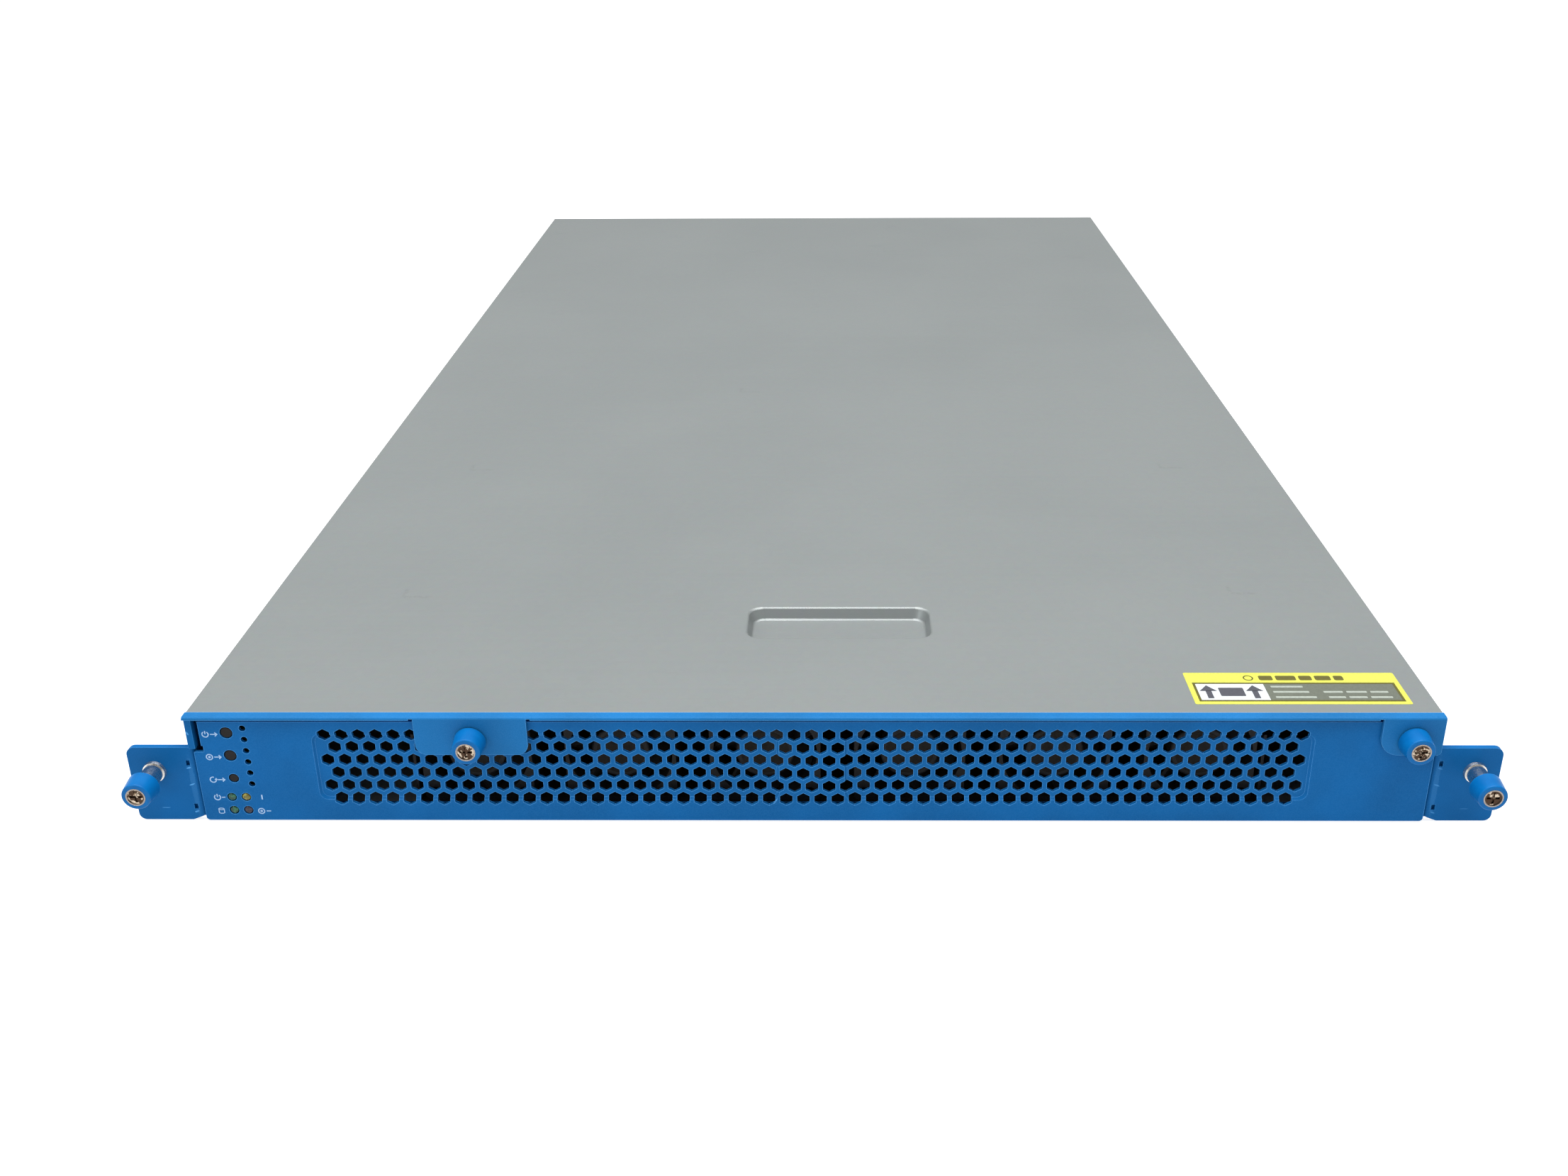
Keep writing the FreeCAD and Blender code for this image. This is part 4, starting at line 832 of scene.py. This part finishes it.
def draw_spring(shape, node):
    """An open coil in the same place as the CAD spring, with flat wire ends."""
    low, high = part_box(node)
    middle = (low + high) / 2
    wire_r = SPRING_WIRE_R * MM
    coil_r = (high.x - low.x) / 2 - wire_r
    front = low.y + wire_r
    length = high.y - low.y - 2 * wire_r
    steps = SPRING_TURNS * SPRING_STEPS_PER_TURN
    rings = []
    for i in range(steps + 1):
        turn = 2 * math.pi * i / SPRING_STEPS_PER_TURN
        out = Vector((math.cos(turn), 0.0, math.sin(turn)))
        centre = Vector((middle.x, front + length * i / steps, middle.z)) + out * coil_r
        sides = [2 * math.pi * k / SPRING_WIRE_SIDES for k in range(SPRING_WIRE_SIDES)]
        rings.append([shape.verts.new(centre + (out * math.cos(a) + Vector((0, math.sin(a), 0))) * wire_r)
                      for a in sides])
    for before, after in zip(rings, rings[1:]):
        for k in range(SPRING_WIRE_SIDES):
            j = (k + 1) % SPRING_WIRE_SIDES
            shape.faces.new((before[k], before[j], after[j], after[k]))
    shape.faces.new(list(reversed(rings[0])))
    shape.faces.new(rings[-1])


def make_ear_spring(side):
    """A coil that stays on the ear's ferrule, in place of the CAD spring."""
    node = "ear_screw_" + side + "_spring"
    spring = make_piece("ear_spring_" + side, lambda shape: draw_spring(shape, node),
                        FINISH["spring_steel"], "chassis")
    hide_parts(node)
    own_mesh(spring)


def make_details():
    """Every small piece that is seen and isn't a CAD node."""
    make_piece("panel_symbols", draw_symbols, INK, "chassis")
    for side in ("left", "right"):
        make_ear_spring(side)
    gold = bright_metal("gold_contact", (0.80, 0.55, 0.22), dull=(0.5, 0.33, 0.12), roughness=0.25)
    make_piece("jack_contacts", draw_contacts, gold, "chassis")
    make_piece("jack_lights_left", lambda shape: draw_jack_lights(shape, -1), FINISH["green_lens"],
               "chassis")
    make_piece("jack_lights_right", lambda shape: draw_jack_lights(shape, 1), FINISH["yellow_lens"],
               "chassis")
    for supply in ("psu_a", "psu_b"):
        make_piece(supply + "_pins", lambda shape: draw_pin_sleeves(shape, supply + "_inlet"), gold,
                   supply)
    foil = bright_metal("hub_foil", (0.035, 0.033, 0.030), dull=(0.018, 0.018, 0.017), roughness=0.5)
    for body in sorted(name for name in frame["bodies"] if name.startswith("fan_rotor")):
        make_piece(body + "_foil", lambda shape: draw_hub_disc(shape, body), foil, body)


# ---------------------------------------------------------------- stage

FLOOR_HALF = 30.0
FLOOR_GAP = 0.0004
FLOOR_GLOW = 0.78
WORLD_STRENGTH = 0.60
CAMERA_TURN = (-0.655, -23.609, -0.324)
CAMERA_SENSOR = 36.0
CAMERA_LENS = 34.72
CAMERA_SHIFT = (-0.0197, -0.0484)
CAMERA_RIGHT = 6.75
CAMERA_BEFORE_LIP = 449.2
CAMERA_HEIGHT = 317.4


def make_camera():
    """The photograph's view: a little left of square on, from above and in front of the lip."""
    yaw, pitch, roll = (math.radians(a) for a in CAMERA_TURN)
    forward = Vector((math.sin(yaw) * math.cos(pitch), math.cos(yaw) * math.cos(pitch), math.sin(pitch)))
    right = Vector((math.cos(yaw), -math.sin(yaw), 0.0))
    up = right.cross(forward)
    tilted_right = right * math.cos(roll) + up * math.sin(roll)
    tilted_up = up * math.cos(roll) - right * math.sin(roll)
    data = bpy.data.cameras.new("camera")
    data.sensor_width = CAMERA_SENSOR
    data.lens = CAMERA_LENS
    data.shift_x, data.shift_y = CAMERA_SHIFT
    data.clip_start = 0.01
    data.clip_end = 20.0
    camera = bpy.data.objects.new("camera", data)
    bpy.context.collection.objects.link(camera)
    turn = Matrix((tilted_right, tilted_up, -forward)).transposed()
    place = Vector((CAMERA_RIGHT * MM, LIP_Y - CAMERA_BEFORE_LIP * MM, BASE_Z + CAMERA_HEIGHT * MM))
    camera.matrix_world = Matrix.Translation(place) @ turn.to_4x4()
    bpy.context.scene.camera = camera


def make_floor():
    """A pale lit table top, wide enough to fill the picture behind the case."""
    mesh = bpy.data.meshes.new("floor")
    shape = bmesh.new()
    corners = [shape.verts.new((sx * FLOOR_HALF, sy * FLOOR_HALF, BASE_Z - FLOOR_GAP)) for sx, sy in
               ((-1, -1), (1, -1), (1, 1), (-1, 1))]
    shape.faces.new(corners)
    shape.to_mesh(mesh)
    shape.free()
    floor = bpy.data.objects.new("floor", mesh)
    bpy.context.collection.objects.link(floor)
    s = Shader("floor_paper", roughness=0.8)
    s.set("Base Color", s.mix(s.noise(400.0), (0.33, 0.33, 0.33), (0.35, 0.35, 0.35)))
    s.set("Emission Color", (1.0, 1.0, 1.0, 1.0))
    s.set("Emission Strength", FLOOR_GLOW)
    mesh.materials.append(s.material)


def area_light(name, place, target, size, power):
    """A soft rectangular lamp that faces its target."""
    data = bpy.data.lights.new(name, "AREA")
    data.shape = "RECTANGLE"
    data.size, data.size_y = size
    data.energy = power
    light = bpy.data.objects.new(name, data)
    bpy.context.collection.objects.link(light)
    light.location = place
    light.rotation_mode = "QUATERNION"
    light.rotation_quaternion = (Vector(target) - Vector(place)).to_track_quat("-Z", "Y")


def make_light():
    """Even light from all round, a broad lamp overhead and a small one at the front left."""
    world = bpy.data.worlds.new("studio")
    bpy.context.scene.world = world
    world.use_nodes = True
    world.node_tree.nodes["Background"].inputs["Color"].default_value = (0.97, 1.0, 1.0, 1.0)
    world.node_tree.nodes["Background"].inputs["Strength"].default_value = WORLD_STRENGTH
    area_light("overhead", (0.0, -0.25, 1.7), (0.0, 0.0, 0.0), (2.0, 1.6), 62.0)
    area_light("front_left", (-1.0, LIP_Y - 0.7, 0.8), (0.0, LIP_Y, 0.0), (0.6, 0.5), 4.5)
    view = bpy.context.scene.view_settings
    view.view_transform = "Standard"
    view.look = "None"


make_camera()
make_floor()
make_light()
dress_cad_nodes()
make_sticker()
make_details()
